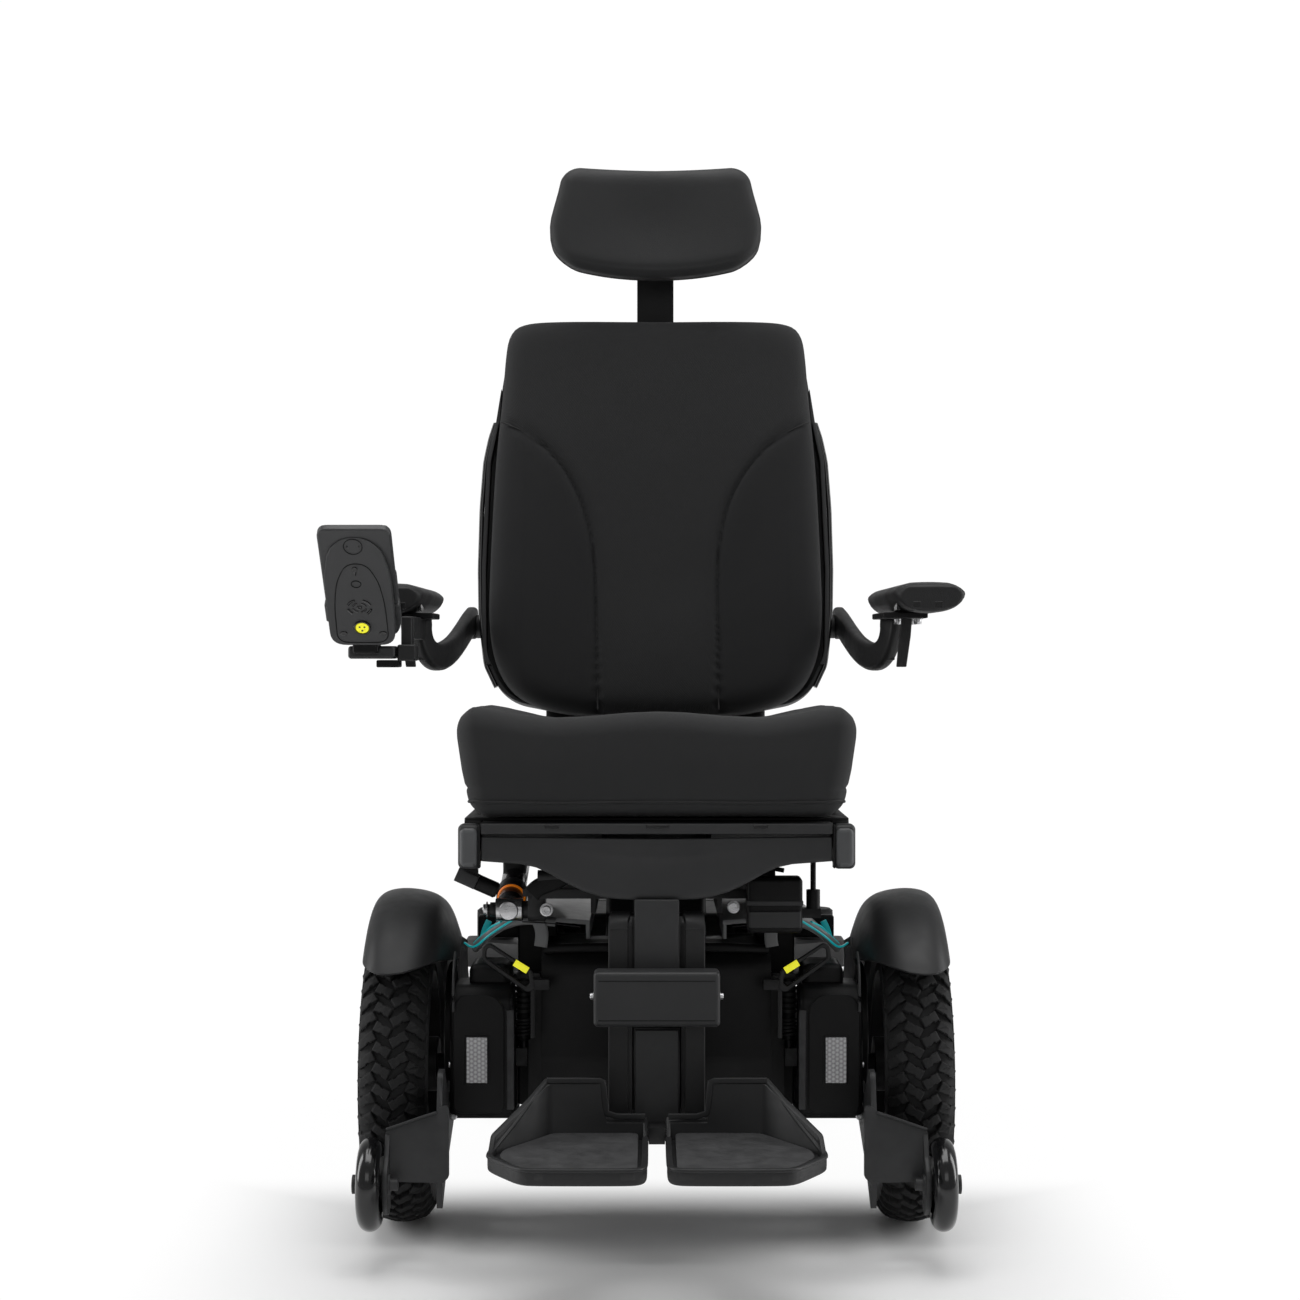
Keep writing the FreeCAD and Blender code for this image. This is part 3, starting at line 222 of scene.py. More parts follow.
def rubber(name, colour, rough):
    s = Shader(name)
    dust = s.noise(45.0, 7.0, 0.65)
    return s.finish(
        Base_Color=s.mix(s.remap(dust, 0.35, 0.7), tint(colour), tint(colour, 1.6, 0.004)),
        Roughness=s.vary(dust, rough, 0.1, 0.08), Specular_IOR_Level=0.3,
        Normal=s.bump(s.noise(900.0, 3.0), 0.3, 0.0003))


def honeycomb(name, colour, pitch=0.0042):
    """Reflector prisms: three cosine waves crossing at 60 degrees."""
    s = Shader(name)
    axes = s.axes()
    rate = 2 * math.pi / pitch
    x_wave = s.calc("MULTIPLY", axes["X"], rate)
    z_wave = s.calc("MULTIPLY", axes["Z"], rate)

    def slanted(operation):
        return s.calc("COSINE", s.calc(operation, s.calc("MULTIPLY", x_wave, 0.5),
                                       s.calc("MULTIPLY", z_wave, 0.866)))
    slants = s.calc("ADD", slanted("ADD"), slanted("SUBTRACT"))
    prisms = s.remap(s.calc("ADD", s.calc("COSINE", x_wave), slants), -1.5, 1.2)
    return s.finish(
        Base_Color=s.mix(prisms, tint(colour, 0.55), tint(colour)),
        Roughness=0.25, Metallic=0.35, Coat_Weight=0.6, Normal=s.bump(prisms, 0.6, 0.0006))


MATERIALS = {
    "charcoal": plastic("satin_charcoal_plastic", (0.0225, 0.0228, 0.0238), rough=0.46,
                        edge_highlight=0.3, spec=0.34),
    "black": plastic("near_black_plastic", (0.0032, 0.0032, 0.0035), rough=0.46,
                     edge_highlight=0.2, spec=0.18),
    "blackgloss": plastic("gloss_black", (0.0045, 0.0045, 0.005), rough=0.18,
                          grain_depth=0.03, coat=0.4, edge_highlight=0.1, spec=0.4),
    "grey_gloss": plastic("gloss_grey_shoulder", (0.145, 0.147, 0.150), rough=0.36,
                          grain_depth=0.03, coat=0.12, edge_highlight=0.2, spec=0.35),
    "teal": plastic("teal_accent", (0.0, 0.46, 0.50), rough=0.30,
                    grain_depth=0.03, coat=0.3, edge_highlight=0.1),
    "pcoat": plastic("black_powder_coat", (0.0075, 0.0075, 0.008), rough=0.50,
                     grain=700.0, grain_depth=0.25, edge_highlight=0.45, spec=0.35),
    "zinc": metal("zinc_steel", (0.62, 0.62, 0.63), rough=0.28),
    "alu": metal("satin_aluminium", (0.45, 0.46, 0.47), rough=0.38),
    "chrome": metal("polished_rod", (0.75, 0.75, 0.76), rough=0.12),
    "seat": weave("seat_cover_cloth", (0.0235, 0.0238, 0.0245), period=0.0011, rough=0.80,
                  depth=0.35, sheen=0.05),
    "back": weave("back_spacer_mesh", (0.0195, 0.0197, 0.0204), period=0.0021, rough=0.82,
                  depth=0.55, sheen=0.04),
    "backside": weave("back_side_cloth", (0.0125, 0.0127, 0.0134), period=0.0012, rough=0.80,
                      depth=0.35, sheen=0.05),
    "head": hide("headrest_skin", (0.0195, 0.0198, 0.0205), rough=0.58),
    "pad": hide("armrest_skin", (0.0125, 0.0125, 0.0131), rough=0.52, cell=500.0, depth=0.3),
    "gaiter": hide("rubber_gaiter", (0.010, 0.010, 0.010), rough=0.6, cell=900.0, depth=0.15),
    "tyre": rubber("tyre_rubber", (0.0085, 0.0085, 0.0088), rough=0.74),
    # painted light: the sidewall rubber is lighter than the tread, standing in for light falling from
    # the side
    "tyreside": rubber("tyre_sidewall", (0.034, 0.034, 0.035), rough=0.66),
    "caster": rubber("caster_rubber", (0.024, 0.024, 0.025), rough=0.6),
    "mat": rubber("footplate_mat", (0.030, 0.0302, 0.0312), rough=0.66),
    "foot": plastic("footplate_grey", (0.0130, 0.0132, 0.0139), rough=0.48,
                    edge_highlight=0.35, spec=0.34),
    "orange": plastic("orange_bumper", (0.86, 0.19, 0.012), rough=0.45, edge_highlight=0.1),
    "endcap": plastic("end_cap_grey", (0.070, 0.072, 0.075), rough=0.42, edge_highlight=0.2, spec=0.4),
    "module": plastic("control_module_grey", (0.042, 0.0425, 0.044), rough=0.42,
                      edge_highlight=0.25, spec=0.36),
    "fender": plastic("fender_charcoal", (0.0150, 0.0152, 0.0160), rough=0.44,
                      edge_highlight=0.3, spec=0.36),
    "brown": plastic("bronze_sleeve", (0.045, 0.016, 0.008), rough=0.3, coat=0.3, edge_highlight=0.1),
    "yellow": plastic("yellow_insert", (0.86, 0.82, 0.03), rough=0.42, edge_highlight=0.1),
    "red": plastic("red_lens", (0.35, 0.004, 0.004), rough=0.15, coat=0.8, edge_highlight=0.05),
    "reflector": honeycomb("reflector_prism", (0.44, 0.44, 0.45)),
    "screen": plastic("screen_glass", (0.004, 0.005, 0.007), rough=0.06,
                      grain_depth=0.0, coat=1.0, edge_highlight=0.0),
    "cable": plastic("cable_sheath", (0.006, 0.006, 0.006), rough=0.5, edge_highlight=0.1),
    "piping": hide("seam_piping", (0.011, 0.011, 0.0115), rough=0.6, cell=900.0, depth=0.2),
    "case": plastic("battery_case", (0.010, 0.010, 0.011), rough=0.4),
}

# A faint glow keeps the bright inserts coloured in the shade: colour, strength.
GLOWS = {
    "yellow": ((0.95, 0.92, 0.02, 1), 0.42),
    "orange": ((0.95, 0.25, 0.01, 1), 0.22),
    "teal": ((0.0, 0.6, 0.65, 1), 0.10),
}
for key, (colour, strength) in GLOWS.items():
    surface = MATERIALS[key].node_tree.nodes["Principled BSDF"]
    surface.inputs["Emission Color"].default_value = colour
    surface.inputs["Emission Strength"].default_value = strength


# ------------------------------------------------------------------ mesh helpers
def mesh(name, verts, faces, materials, smooth=True):
    """Object from millimetre points; materials is one key or a tuple of keys."""
    data = bpy.data.meshes.new(name)
    data.from_pydata([world(v) for v in verts], [], faces)
    data.update()
    o = bpy.data.objects.new(name, data)
    scene.collection.objects.link(o)
    for key in (materials,) if isinstance(materials, str) else materials:
        data.materials.append(MATERIALS[key])
    bm = bmesh.new()
    bm.from_mesh(data)
    bmesh.ops.remove_doubles(bm, verts=bm.verts, dist=1e-6)
    bmesh.ops.recalc_face_normals(bm, faces=bm.faces)
    bm.to_mesh(data)
    bm.free()
    for face in data.polygons:
        face.use_smooth = smooth
    return o


def sharpen(o, degrees):
    """Marks edges steeper than this as sharp, so that the rest shades smoothly."""
    bm = bmesh.new()
    bm.from_mesh(o.data)
    limit = math.radians(degrees)
    for edge in bm.edges:
        edge.smooth = not (len(edge.link_faces) == 2 and edge.calc_face_angle(0) > limit)
    bm.to_mesh(o.data)
    bm.free()
    for face in o.data.polygons:
        face.use_smooth = True


def bevel(o, width, segments=2, degrees=30, harden=True):
    b = o.modifiers.new("bevel", "BEVEL")
    b.width = width / 1000.0
    b.segments = segments
    b.limit_method = "ANGLE"
    b.angle_limit = math.radians(degrees)
    b.use_clamp_overlap = True
    b.harden_normals = harden


def solidify(o, thickness):
    """Thickens a skin on one side; thickness in metres."""
    modifier = o.modifiers.new("solid", "SOLIDIFY")
    modifier.thickness = thickness
    modifier.offset = -1


def put(o, body, slot, replaces=None):
    """Hands the object to a moving body and hides the frame part it replaces; slot is not used."""
    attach(o, body)
    if replaces:
        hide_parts(replaces)
    return o


def mirrored(s, x0, x1, *rest):
    return (s * x0, s * x1, *rest)


def box_mesh(name, limits, material, bev=1.0, seg=3):
    """Bevelled box; limits are x0, x1, y0, y1, z0, z1."""
    xs, ys, zs = (sorted(limits[i:i + 2]) for i in (0, 2, 4))
    verts = [(x, y, z) for x in xs for y in ys for z in zs]
    faces = [(0, 1, 3, 2), (4, 6, 7, 5), (0, 4, 5, 1), (2, 3, 7, 6), (0, 2, 6, 4), (1, 5, 7, 3)]
    o = mesh(name, verts, faces, material)
    bevel(o, bev, seg)
    return o


def box(name, limits, material, body, slot, bev=1.0, seg=3, replaces=None):
    return put(box_mesh(name, limits, material, bev, seg), body, slot, replaces)


def lathe(name, axis, centre, profile, materials, body, slot, seg=64, closed=False,
          replaces=None):
    """Turns a profile of (distance along the axis, radius)."""
    along = Vector(axis).normalized()
    side = along.orthogonal().normalized()
    other = along.cross(side)
    centre = Vector(centre)
    verts, faces = [], []
    n = len(profile)
    for i in range(seg):
        angle = 2 * math.pi * i / seg
        out = side * math.cos(angle) + other * math.sin(angle)
        verts += [tuple(centre + along * t + out * max(r, 0.0)) for t, r in profile]
    for i in range(seg):
        j = (i + 1) % seg
        for k in range(n if closed else n - 1):
            k2 = (k + 1) % n
            faces.append((i * n + k, j * n + k, j * n + k2, i * n + k2))
    o = mesh(name, verts, faces, materials)
    # drop zero-area faces at the axis
    bm = bmesh.new()
    bm.from_mesh(o.data)
    bmesh.ops.dissolve_degenerate(bm, edges=bm.edges, dist=1e-6)
    bmesh.ops.recalc_face_normals(bm, faces=bm.faces)
    bm.to_mesh(o.data)
    bm.free()
    sharpen(o, 32)
    return put(o, body, slot, replaces)


def sleeve(start, end, inner, outer):
    """Closed lathe profile of a plain sleeve."""
    return [(start, inner), (start, outer), (end, outer), (end, inner)]


def cut_corners(points, passes):
    """Softens an open line by corner cutting; its ends stay."""
    for _ in range(passes):
        cut = [points[0]]
        for a, b in zip(points, points[1:]):
            cut += [a * 0.75 + b * 0.25, a * 0.25 + b * 0.75]
        points = cut + [points[-1]]
    return points


def smooth_line(points, passes=2):
    return [p.tolist() for p in cut_corners([np.array(p, float) for p in points], passes)]


def sweep(name, path, profile, material, body, slot, up=Z_AXIS, passes=0, closed=False,
          replaces=None):
    """Sweeps a closed profile of (across, up) along a path; open paths get end caps."""
    points = cut_corners([Vector(p) for p in path], passes)
    up = Vector(up)
    verts, faces = [], []
    n, m = len(profile), len(points)
    for i, p in enumerate(points):
        if closed:
            ahead = points[(i + 1) % m] - points[i - 1]
        else:
            ahead = points[min(i + 1, m - 1)] - points[max(i - 1, 0)]
        ahead.normalize()
        side = ahead.cross(up)
        if side.length < 1e-4:
            side = ahead.cross(Vector(Y_AXIS))
        side.normalize()
        rise = side.cross(ahead).normalized()
        verts += [tuple(p + side * x + rise * y) for x, y in profile]
    for i in range(m if closed else m - 1):
        j = (i + 1) % m
        for k in range(n):
            k2 = (k + 1) % n
            faces.append((i * n + k, i * n + k2, j * n + k2, j * n + k))
    if not closed:
        faces.append(tuple(range(n))[::-1])
        faces.append(tuple((m - 1) * n + k for k in range(n)))
    o = mesh(name, verts, faces, material)
    sharpen(o, 40)
    return put(o, body, slot, replaces)


def prism(name, near, far, material, body, slot, bev, seg=2, flip=False, replaces=None):
    """Joins two matching outlines; flip winds the faces the other way."""
    n = len(near)
    ends = [tuple(range(n)), tuple(range(n, 2 * n))[::-1]]
    sides = [(i, (i + 1) % n, n + (i + 1) % n, n + i) for i in range(n)]
    if flip:
        ends = [end[::-1] for end in ends]
        sides = [(a, d, c, b) for a, b, c, d in sides]
    o = mesh(name, near + far, ends + sides, material)
    if bev:
        bevel(o, bev, seg)
    return put(o, body, slot, replaces)


def ring(r, n):
    return [(r * math.cos(2 * math.pi * i / n), r * math.sin(2 * math.pi * i / n))
            for i in range(n)]


def round_rect(w, h, r, n=4):
    x, y = w / 2 - r, h / 2 - r
    points = []
    for cx, cy, start in ((x, y, 0), (-x, y, 90), (-x, -y, 180), (x, -y, 270)):
        for i in range(n + 1):
            angle = math.radians(start + 90 * i / n)
            points.append((cx + r * math.cos(angle), cy + r * math.sin(angle)))
    return points


def round_polygon(points, r, steps):
    """Eases each corner with a quadratic curve that starts r from it."""
    out = []
    for i in range(len(points)):
        a, b, c = (Vector(points[k % len(points)]) for k in (i - 1, i, i + 1))
        cut = min(r, (a - b).length * 0.48, (c - b).length * 0.48)
        start = b + (a - b).normalized() * cut
        end = b + (c - b).normalized() * cut
        for k in range(steps + 1):
            t = k / steps
            q = start * (1 - t) ** 2 + b * 2 * t * (1 - t) + end * t ** 2
            out.append((q.x, q.y))
    return out


def bolt(name, place, axis, r, h, body, material="zinc"):
    """Socket head on a washer, its head pointing along the axis."""
    profile = [(0, 0), (0, r * 1.45), (r * 0.18, r * 1.45), (r * 0.22, r * 1.38), (r * 0.22, r),
               (h * 0.85, r), (h, r * 0.86), (h, r * 0.5), (h * 0.55, r * 0.46), (h * 0.55, 0)]
    slot = "silver_metal" if material == "zinc" else "black_metal"
    lathe(name, axis, place, profile, material, body, slot, seg=24)


def soft_box(name, shape, counts, material):
    """Closed box grid; shape maps (u, v, w) in [-1, 1] to millimetres."""
    index, verts, faces = {}, [], []

    def vertex(*key):
        if key not in index:
            index[key] = len(verts)
            verts.append(shape(*(2.0 * k / n - 1 for k, n in zip(key, counts))))
        return index[key]

    # two axes that span a pair of faces, the axis across them, whether the low face flips
    for a, b, fixed, flip_low in ((0, 1, 2, True), (0, 2, 1, False), (1, 2, 0, True)):
        for i in range(counts[a]):
            for j in range(counts[b]):
                for end in (0, counts[fixed]):
                    quad = []
                    for di, dj in ((0, 0), (1, 0), (1, 1), (0, 1)):
                        key = [end] * 3
                        key[a], key[b] = i + di, j + dj
                        quad.append(vertex(*key))
                    faces.append(tuple(quad[::-1] if (end == 0) == flip_low else quad))
    return mesh(name, verts, faces, material)


def round_cube(u, v, w, radii):
    """Maps the unit cube's surface to one with rounded edges, a radius for each axis."""
    p = np.array([u, v, w], float)
    radii = np.array(radii, float)
    inner = np.clip(p, -(1 - radii), 1 - radii)
    d = (p - inner) / radii
    largest = np.abs(d).max()
    length = np.linalg.norm(d)
    if length > 1e-9 and largest > 1e-9:
        d = d / length * largest
    return inner + d * radii


def ripple(x, y, z, s, seed):
    """Smooth, repeatable unevenness from sines."""
    total = 0.0
    for i in range(1, 4):
        a = seed * 1.7 + i * 2.3
        total += (math.sin(x * s * i * 0.7 + a) * math.cos(y * s * i * 0.9 - a * 1.3)
                  * math.sin(z * s * i * 0.8 + a * 0.6) / i)
    return total / 1.6


def bell(x, width):
    return math.exp(-(x / width) ** 2)


def lin(x, table):
    """Straight-line lookup in a table of (x, value), held at its ends."""
    if x <= table[0][0]:
        return table[0][1]
    for (a, fa), (b, fb) in zip(table, table[1:]):
        if x <= b:
            return fa + (fb - fa) * (x - a) / (b - a)
    return table[-1][1]


def resample(line, shares):
    """Points of a 2-D line at shares of its length."""
    lengths = [0.0]
    for a, b in zip(line, line[1:]):
        lengths.append(lengths[-1] + math.hypot(b[0] - a[0], b[1] - a[1]))
    points = []
    for share in shares:
        distance = share * lengths[-1]
        k = 0
        while k < len(lengths) - 2 and lengths[k + 1] < distance:
            k += 1
        f = (distance - lengths[k]) / (lengths[k + 1] - lengths[k])
        (xa, za), (xb, zb) = line[k:k + 2]
        points.append((xa + (xb - xa) * f, za + (zb - za) * f))
    return points


def grid_faces(rows, columns):
    m = columns + 1
    return [(i * m + j, i * m + j + 1, (i + 1) * m + j + 1, (i + 1) * m + j)
            for i in range(rows) for j in range(columns)]


# The backrest leans back about this line; back parts are drawn upright, then leaned.
LEAN, LEAN_Y, LEAN_Z = math.radians(8.0), 200.0, 570.0


def lean(p):
    y, z = p[1] - LEAN_Y, p[2] - LEAN_Z
    return (p[0], LEAN_Y + y * math.cos(LEAN) + z * math.sin(LEAN),
            LEAN_Z + z * math.cos(LEAN) - y * math.sin(LEAN))


# ------------------------------------------------------------------ finishes on the frame's parts
# (material, bevel width): parts; a star stands for left and right.
FINISHES = {
    ("pcoat", 0.8): "chassis_frame seat_platform seat_frame legrest_column legrest_carriage "
                    "back_frame drive_unit_* drive_rim_* caster_fork_*",
    ("pcoat", 0.7): "headrest_post joystick_mount",
    ("pcoat", 0.6): "tie_down_loops lift_outer_column lift_middle_column tilt_actuator_tube "
                    "caster_hub_* armrest_arm_*",
    ("pcoat", 0.5): "seat_pan",
    ("case", 0.8): "battery_pack",
    ("alu", 0.8): "power_module",
    ("alu", 0.6): "lift_inner_column",
    ("chrome", 0.4): "tilt_actuator_rod",
    ("black", 1.5): "rear_cover",
    ("black", 1.4): "knee_cover",
    ("black", 1.2): "calf_housing motor_cover_*",
    ("black", 1.0): "front_shell",
    ("black", 0.8): "lift_motor",
    ("black", 0.5): "suspension_dampers",
    ("black", 0.3): "joystick_stick",
    ("blackgloss", 0.0): "support_roller_*",
    ("grey_gloss", 1.2): "shoulder_covers",
    ("teal", 0.0): "accent_trim",
    ("charcoal", 1.5): "rail_end_caps",
    ("charcoal", 1.2): "back_shell support_arm_*",
    ("charcoal", 1.0): "fender_*",
    ("charcoal", 0.8): "joystick_housing",
    ("gaiter", 0.0): "joystick_boot",
    ("mat", 0.4): "joystick_button",
    ("caster", 0.0): "caster_tyre_*",
    ("foot", 1.2): "footplate_*",
}


def finish_part(name, material, width):
    o = frame["nodes"][name]
    o.data.materials.clear()
    o.data.materials.append(MATERIALS[material])
    for face in o.data.polygons:
        face.material_index = 0
        face.use_smooth = True
    o.data.set_sharp_from_angle(angle=math.radians(28))
    if width:
        o.modifiers.new("weld", "WELD").merge_threshold = 1e-6
        bevel(o, width, 2, 33)


for (material, width), names in FINISHES.items():
    for name in names.split():
        for side in ("left", "right") if "*" in name else ("",):
            finish_part(name.replace("*", side), material, width)

# ------------------------------------------------------------------ drive tyres
TYRE_X = 287.0
TREAD_DEPTH = 6.2
BLOCKS_ROUND = 49
# sidewall from the bead outward: x from the tyre's middle, radius
SIDEWALL = [(-30, 116), (-34.5, 120), (-37.6, 134), (-37.9, 146), (-36.6, 153.5)]
# block columns: x, shift in pitches, slant direction, half width, half length
BLOCK_COLUMNS = ((-27.5, 0.0, -1, 10.2, 5.7), (-9.4, 0.5, 1, 9.2, 5.5),
                 (9.0, 0.0, -1, 9.2, 5.5), (27.5, 0.5, 1, 10.2, 5.7))
# half of a block's notched outline, in half widths and half lengths; the rest is its opposite
BLOCK_HALF = [(-1, -1), (-0.3, -1), (-0.3, -0.78), (0.1, -0.78), (0.1, -1), (1, -1)]
# block layers: height over the carcass, outline scale
BLOCK_LAYERS = ((-1.2, 1.10), (TREAD_DEPTH * 0.80, 1.0), (TREAD_DEPTH, 0.91))


def tread_radius(x):
    """Outer radius of the tread at x from the tyre's middle."""
    a = abs(x)
    if a < 20:
        return 176.6 - 0.010 * a * a
    return 172.6 - 17.5 * ((a - 20) / 18.0) ** 2.1


def tread_blocks(side, x_middle):
    verts, faces = [], []
    outline = BLOCK_HALF + [(-a, -b) for a, b in BLOCK_HALF]
    m = len(outline)
    for column_x, shift, direction, half_width, half_length in BLOCK_COLUMNS:
        slant = math.radians(32) * direction
        for k in range(BLOCKS_ROUND):
            middle = 2 * math.pi * (k + shift) / BLOCKS_ROUND
            first = len(verts)
            for height, scale in BLOCK_LAYERS:
                for a, b in outline:
                    a, b = half_width * a * scale, half_length * b * scale
                    across = a * math.cos(slant) - b * math.sin(slant)
                    ahead = a * math.sin(slant) + b * math.cos(slant)
                    across += ahead * 0.12 * direction
                    x = max(-37.4, min(37.4, column_x + across))
                    r = tread_radius(x) - TREAD_DEPTH + height
                    angle = middle + ahead / 172.0
                    verts.append((x_middle + x, r * math.cos(angle),
                                  AXLE_Z + r * math.sin(angle)))
            for low in (first, first + m):
                for i in range(m):
                    j = (i + 1) % m
                    faces.append((low + i, low + j, low + m + j, low + m + i))
            faces.append(tuple(first + 2 * m + i for i in range(m)))
            faces.append(tuple(first + i for i in range(m))[::-1])
    o = mesh("tread_blocks_" + side, verts, faces, "tyre", smooth=False)
    bevel(o, 0.5, 1, 40, harden=False)
    put(o, "wheel_" + side, "tyre_black")


def drive_tyre(side, s):
    body = "wheel_" + side
    x_middle = TYRE_X * s
    crown = [-35.5 + 71.0 * i / 12 for i in range(13)]
    profile = (SIDEWALL + [(x, tread_radius(x) - TREAD_DEPTH) for x in crown]
               + [(-x, r) for x, r in SIDEWALL[::-1]])
    carcass = lathe("tread_carcass_" + side, X_AXIS, (x_middle, 0, AXLE_Z), profile,
                    ("tyre", "tyreside"), body, "tyre_black", seg=160, closed=True,
                    replaces="drive_tyre_" + side)
    # faces near the rim take the lighter sidewall rubber, painted side light
    for face in carcass.data.polygons:
        _, y, z = from_world(face.center)
        face.material_index = 1 if math.hypot(y, z - AXLE_Z) < 152 else 0
    tread_blocks(side, x_middle)
    # plain raised ribs on the outer sidewall: radius, x from the middle
    for r, out in ((126, 35.6), (140, 37.2)):
        lathe(f"sidewall_rib_{r}_{side}", X_AXIS, (x_middle + s * out, 0, AXLE_Z),
              [(-1, r - 1), (1.4, r - .6), (1.4, r + .6), (-1, r + 1)],
              "tyreside", body, "tyre_black", seg=128, closed=True)


def hub_parts(side, s):
    body = "wheel_" + side
    out = (s, 0, 0)
    lathe("hub_cap_" + side, out, (s * 310.6, 0, AXLE_Z),
          [(0, 0), (0, 27), (3, 27), (5.5, 24), (6.6, 18), (6.8, 0)],
          "black", body, "rim_black", seg=48)
    bolt_circle = 40
    for k in range(5):
        a = math.radians(90 + 36 + 72 * k)
        place = (s * 298, bolt_circle * math.cos(a), AXLE_Z + bolt_circle * math.sin(a))
        bolt(f"wheel_bolt_{k}_{side}", place, out, 4.6, 6, body)
    lathe("rim_lip_" + side, out, (s * 316.2, 0, AXLE_Z),
          [(0, 104), (0, 115.5), (2.4, 116.6), (3.4, 114), (2.8, 107), (1.5, 104)],
          "alu", body, "rim_black", seg=96, closed=True)


for build in (drive_tyre, hub_parts):
    for side, s in SIDES:
        build(side, s)

# ------------------------------------------------------------------ fenders
# cross section from the inner edge to the outer: x, radius about the axle
FENDER_SECTION = [
    (222.6, 132), (226.5, 148), (231.5, 163), (235.5, 174), (240.5, 183.5), (247.5, 190.5),
    (257, 195.8), (270, 199.2), (285, 200.9), (298, 200.4), (309, 197.8), (317, 192.4),
    (321.5, 184.5), (323.6, 174)]
# height of the S-shaped front lip: x, z
FENDER_LIP = [(222, 303), (229, 307), (238, 310.5), (248, 309.5), (262, 306), (275, 302.5),
              (290, 301), (303, 301.5), (313, 304), (320, 307), (324, 309.5)]
# angle of the rear lip: share across the section, degrees
FENDER_REAR = [(0, 34), (0.25, 24), (0.6, 20), (1.0, 27)]
# outline of the inner stay: y, z
FENDER_STAY = [(40, 240), (-50, 280), (-60, 298), (10, 322), (90, 308), (90, 240)]


def fender(side, s):
    body = "drive_" + side
    across, around = 44, 56
    shares = [i / across for i in range(across + 1)]
    verts = []
    for share, (x, r) in zip(shares, resample(smooth_line(FENDER_SECTION), shares)):
        front = 180 - math.degrees(math.asin((lin(x, FENDER_LIP) - AXLE_Z) / r))
        rear = lin(share, FENDER_REAR)
        for j in range(around + 1):
            a = math.radians(front + (rear - front) * (j / around))
            verts.append((s * x, r * math.cos(a), AXLE_Z + r * math.sin(a)))
    skin = mesh("fender_skin_" + side, verts, grid_faces(across, around), "fender")
    solidify(skin, 0.0032)
    bevel(skin, 1.0, 3, 50)
    put(skin, body, "charcoal_plastic", "fender_" + side)
    # inner stay that bolts the fender to the drive unit
    near, far = ([(s * x, y, z) for y, z in FENDER_STAY] for x in (223.2, 226.4))
    prism("fender_stay_" + side, near, far, "pcoat", body, "black_metal", bev=0.8)
    # thin dark strip that runs down from the inner end of the front lip
    sweep("fender_edge_" + side,
          [(s * 222.4, -100, 316), (s * 221.6, -128, 306),
           (s * 221.2, -140, 286), (s * 221.2, -140, 258)],
          round_rect(3, 6, 1.2), "charcoal", body, "charcoal_plastic", passes=2)
    for y, z in ((60, 250), (76, 246)):
        bolt(f"fender_bolt_{y}_{side}", (s * 226.4, y, z), (s, 0, 0), 4, 4, body)


for side, s in SIDES:
    fender(side, s)

# ------------------------------------------------------------------ seat cushion
SEAT_Y = -22.5              # middle of the cushion
SEAT_HALF_LENGTH = 221.5
SEAT_BOTTOM, SEAT_TOP = 475.2, 593.0
# half width over the height share
SEAT_WIDTH = [(0, 193), (0.12, 197.5), (0.45, 205.5), (0.75, 210.5), (0.93, 211.5), (1, 209)]
# factor on the width over the length, front to back
SEAT_TAPER = [(-1, 0.992), (-.9, 1.0), (0.6, 1.0), (1, 0.975)]
# top surface from the middle to the side: raised middle, dips, raised thigh sides
SEAT_CROWN = [(0, -6), (0.16, -7.2), (0.34, -10.8), (0.52, -12.6), (0.68, -9.5), (0.82, -3.5),
              (0.93, 0), (1, -5)]
# fall of the top toward the back
SEAT_FALL = [(-1, 0), (0.2, -4), (1, -12)]


def seat_point(u, v, w):
    across, along, up = round_cube(u, v, w, (0.10, 0.10, 0.40))
    a = abs(across)
    rise = (up + 1) / 2
    x = across * (lin(rise, SEAT_WIDTH) * lin(along, SEAT_TAPER))
    y = SEAT_Y + along * SEAT_HALF_LENGTH
    dish = -14.0 * bell(along - 0.35, 0.45) * math.exp(-(a / 0.62) ** 4)
    top = SEAT_TOP + lin(a, SEAT_CROWN) + dish + lin(along, SEAT_FALL)
    bottom = SEAT_BOTTOM + 1.5 * (1 - a ** 4)
    z = bottom + (top - bottom) * rise
    # the front face leans out at mid height
    y += -3.5 * bell(rise - 0.55, 0.3) * max(0.0, -along) ** 12
    if rise > 0.5:
        z += 0.7 * ripple(x, y, z, 0.018, 2) + 0.35 * ripple(x, y, z, 0.05, 5)
    # sewn-in seam low on the sides
    x *= 1 - 0.010 * bell(z - (497 + 0.05 * abs(y + 20)), math.sqrt(2.2 * 2.2))
    return (x, y, max(474.6, z))


def seat_seam():
    """Path round the cover at one height, just outside it."""
    n = 40
    steps = [-1 + 2 * i / n for i in range(n + 1)]
    back = [1 - 2 * i / n for i in range(n + 1)]
    square = ([(t, -1) for t in steps] + [(1, t) for t in steps[1:]]
              + [(t, 1) for t in back[1:]] + [(-1, t) for t in back[1:-1]])
    path = []
    for u, v in square:
        p = Vector(seat_point(u, v, -0.70))
        path.append(tuple(p + (p - Vector((0, SEAT_Y, p.z))).normalized() * 0.2))
    return path


seat = soft_box("seat_cushion_cover", seat_point, (110, 110, 46), "seat")
sharpen(seat, 75)
put(seat, "seat", "fabric_black", "seat_cushion")
sweep("seat_piping_low", seat_seam(), ring(1.7, 8), "piping", "seat", "fabric_black",
      closed=True)
for s in (-1, 1):
    path = [Vector(seat_point(s * 0.985, -1 + 2 * i / 60, 0.80)) for i in range(1, 60)]
    sweep(f"seat_piping_top_{s + 1}", [(p.x + s * 0.6, p.y, p.z) for p in path],
          ring(1.2, 8), "piping", "seat", "fabric_black")

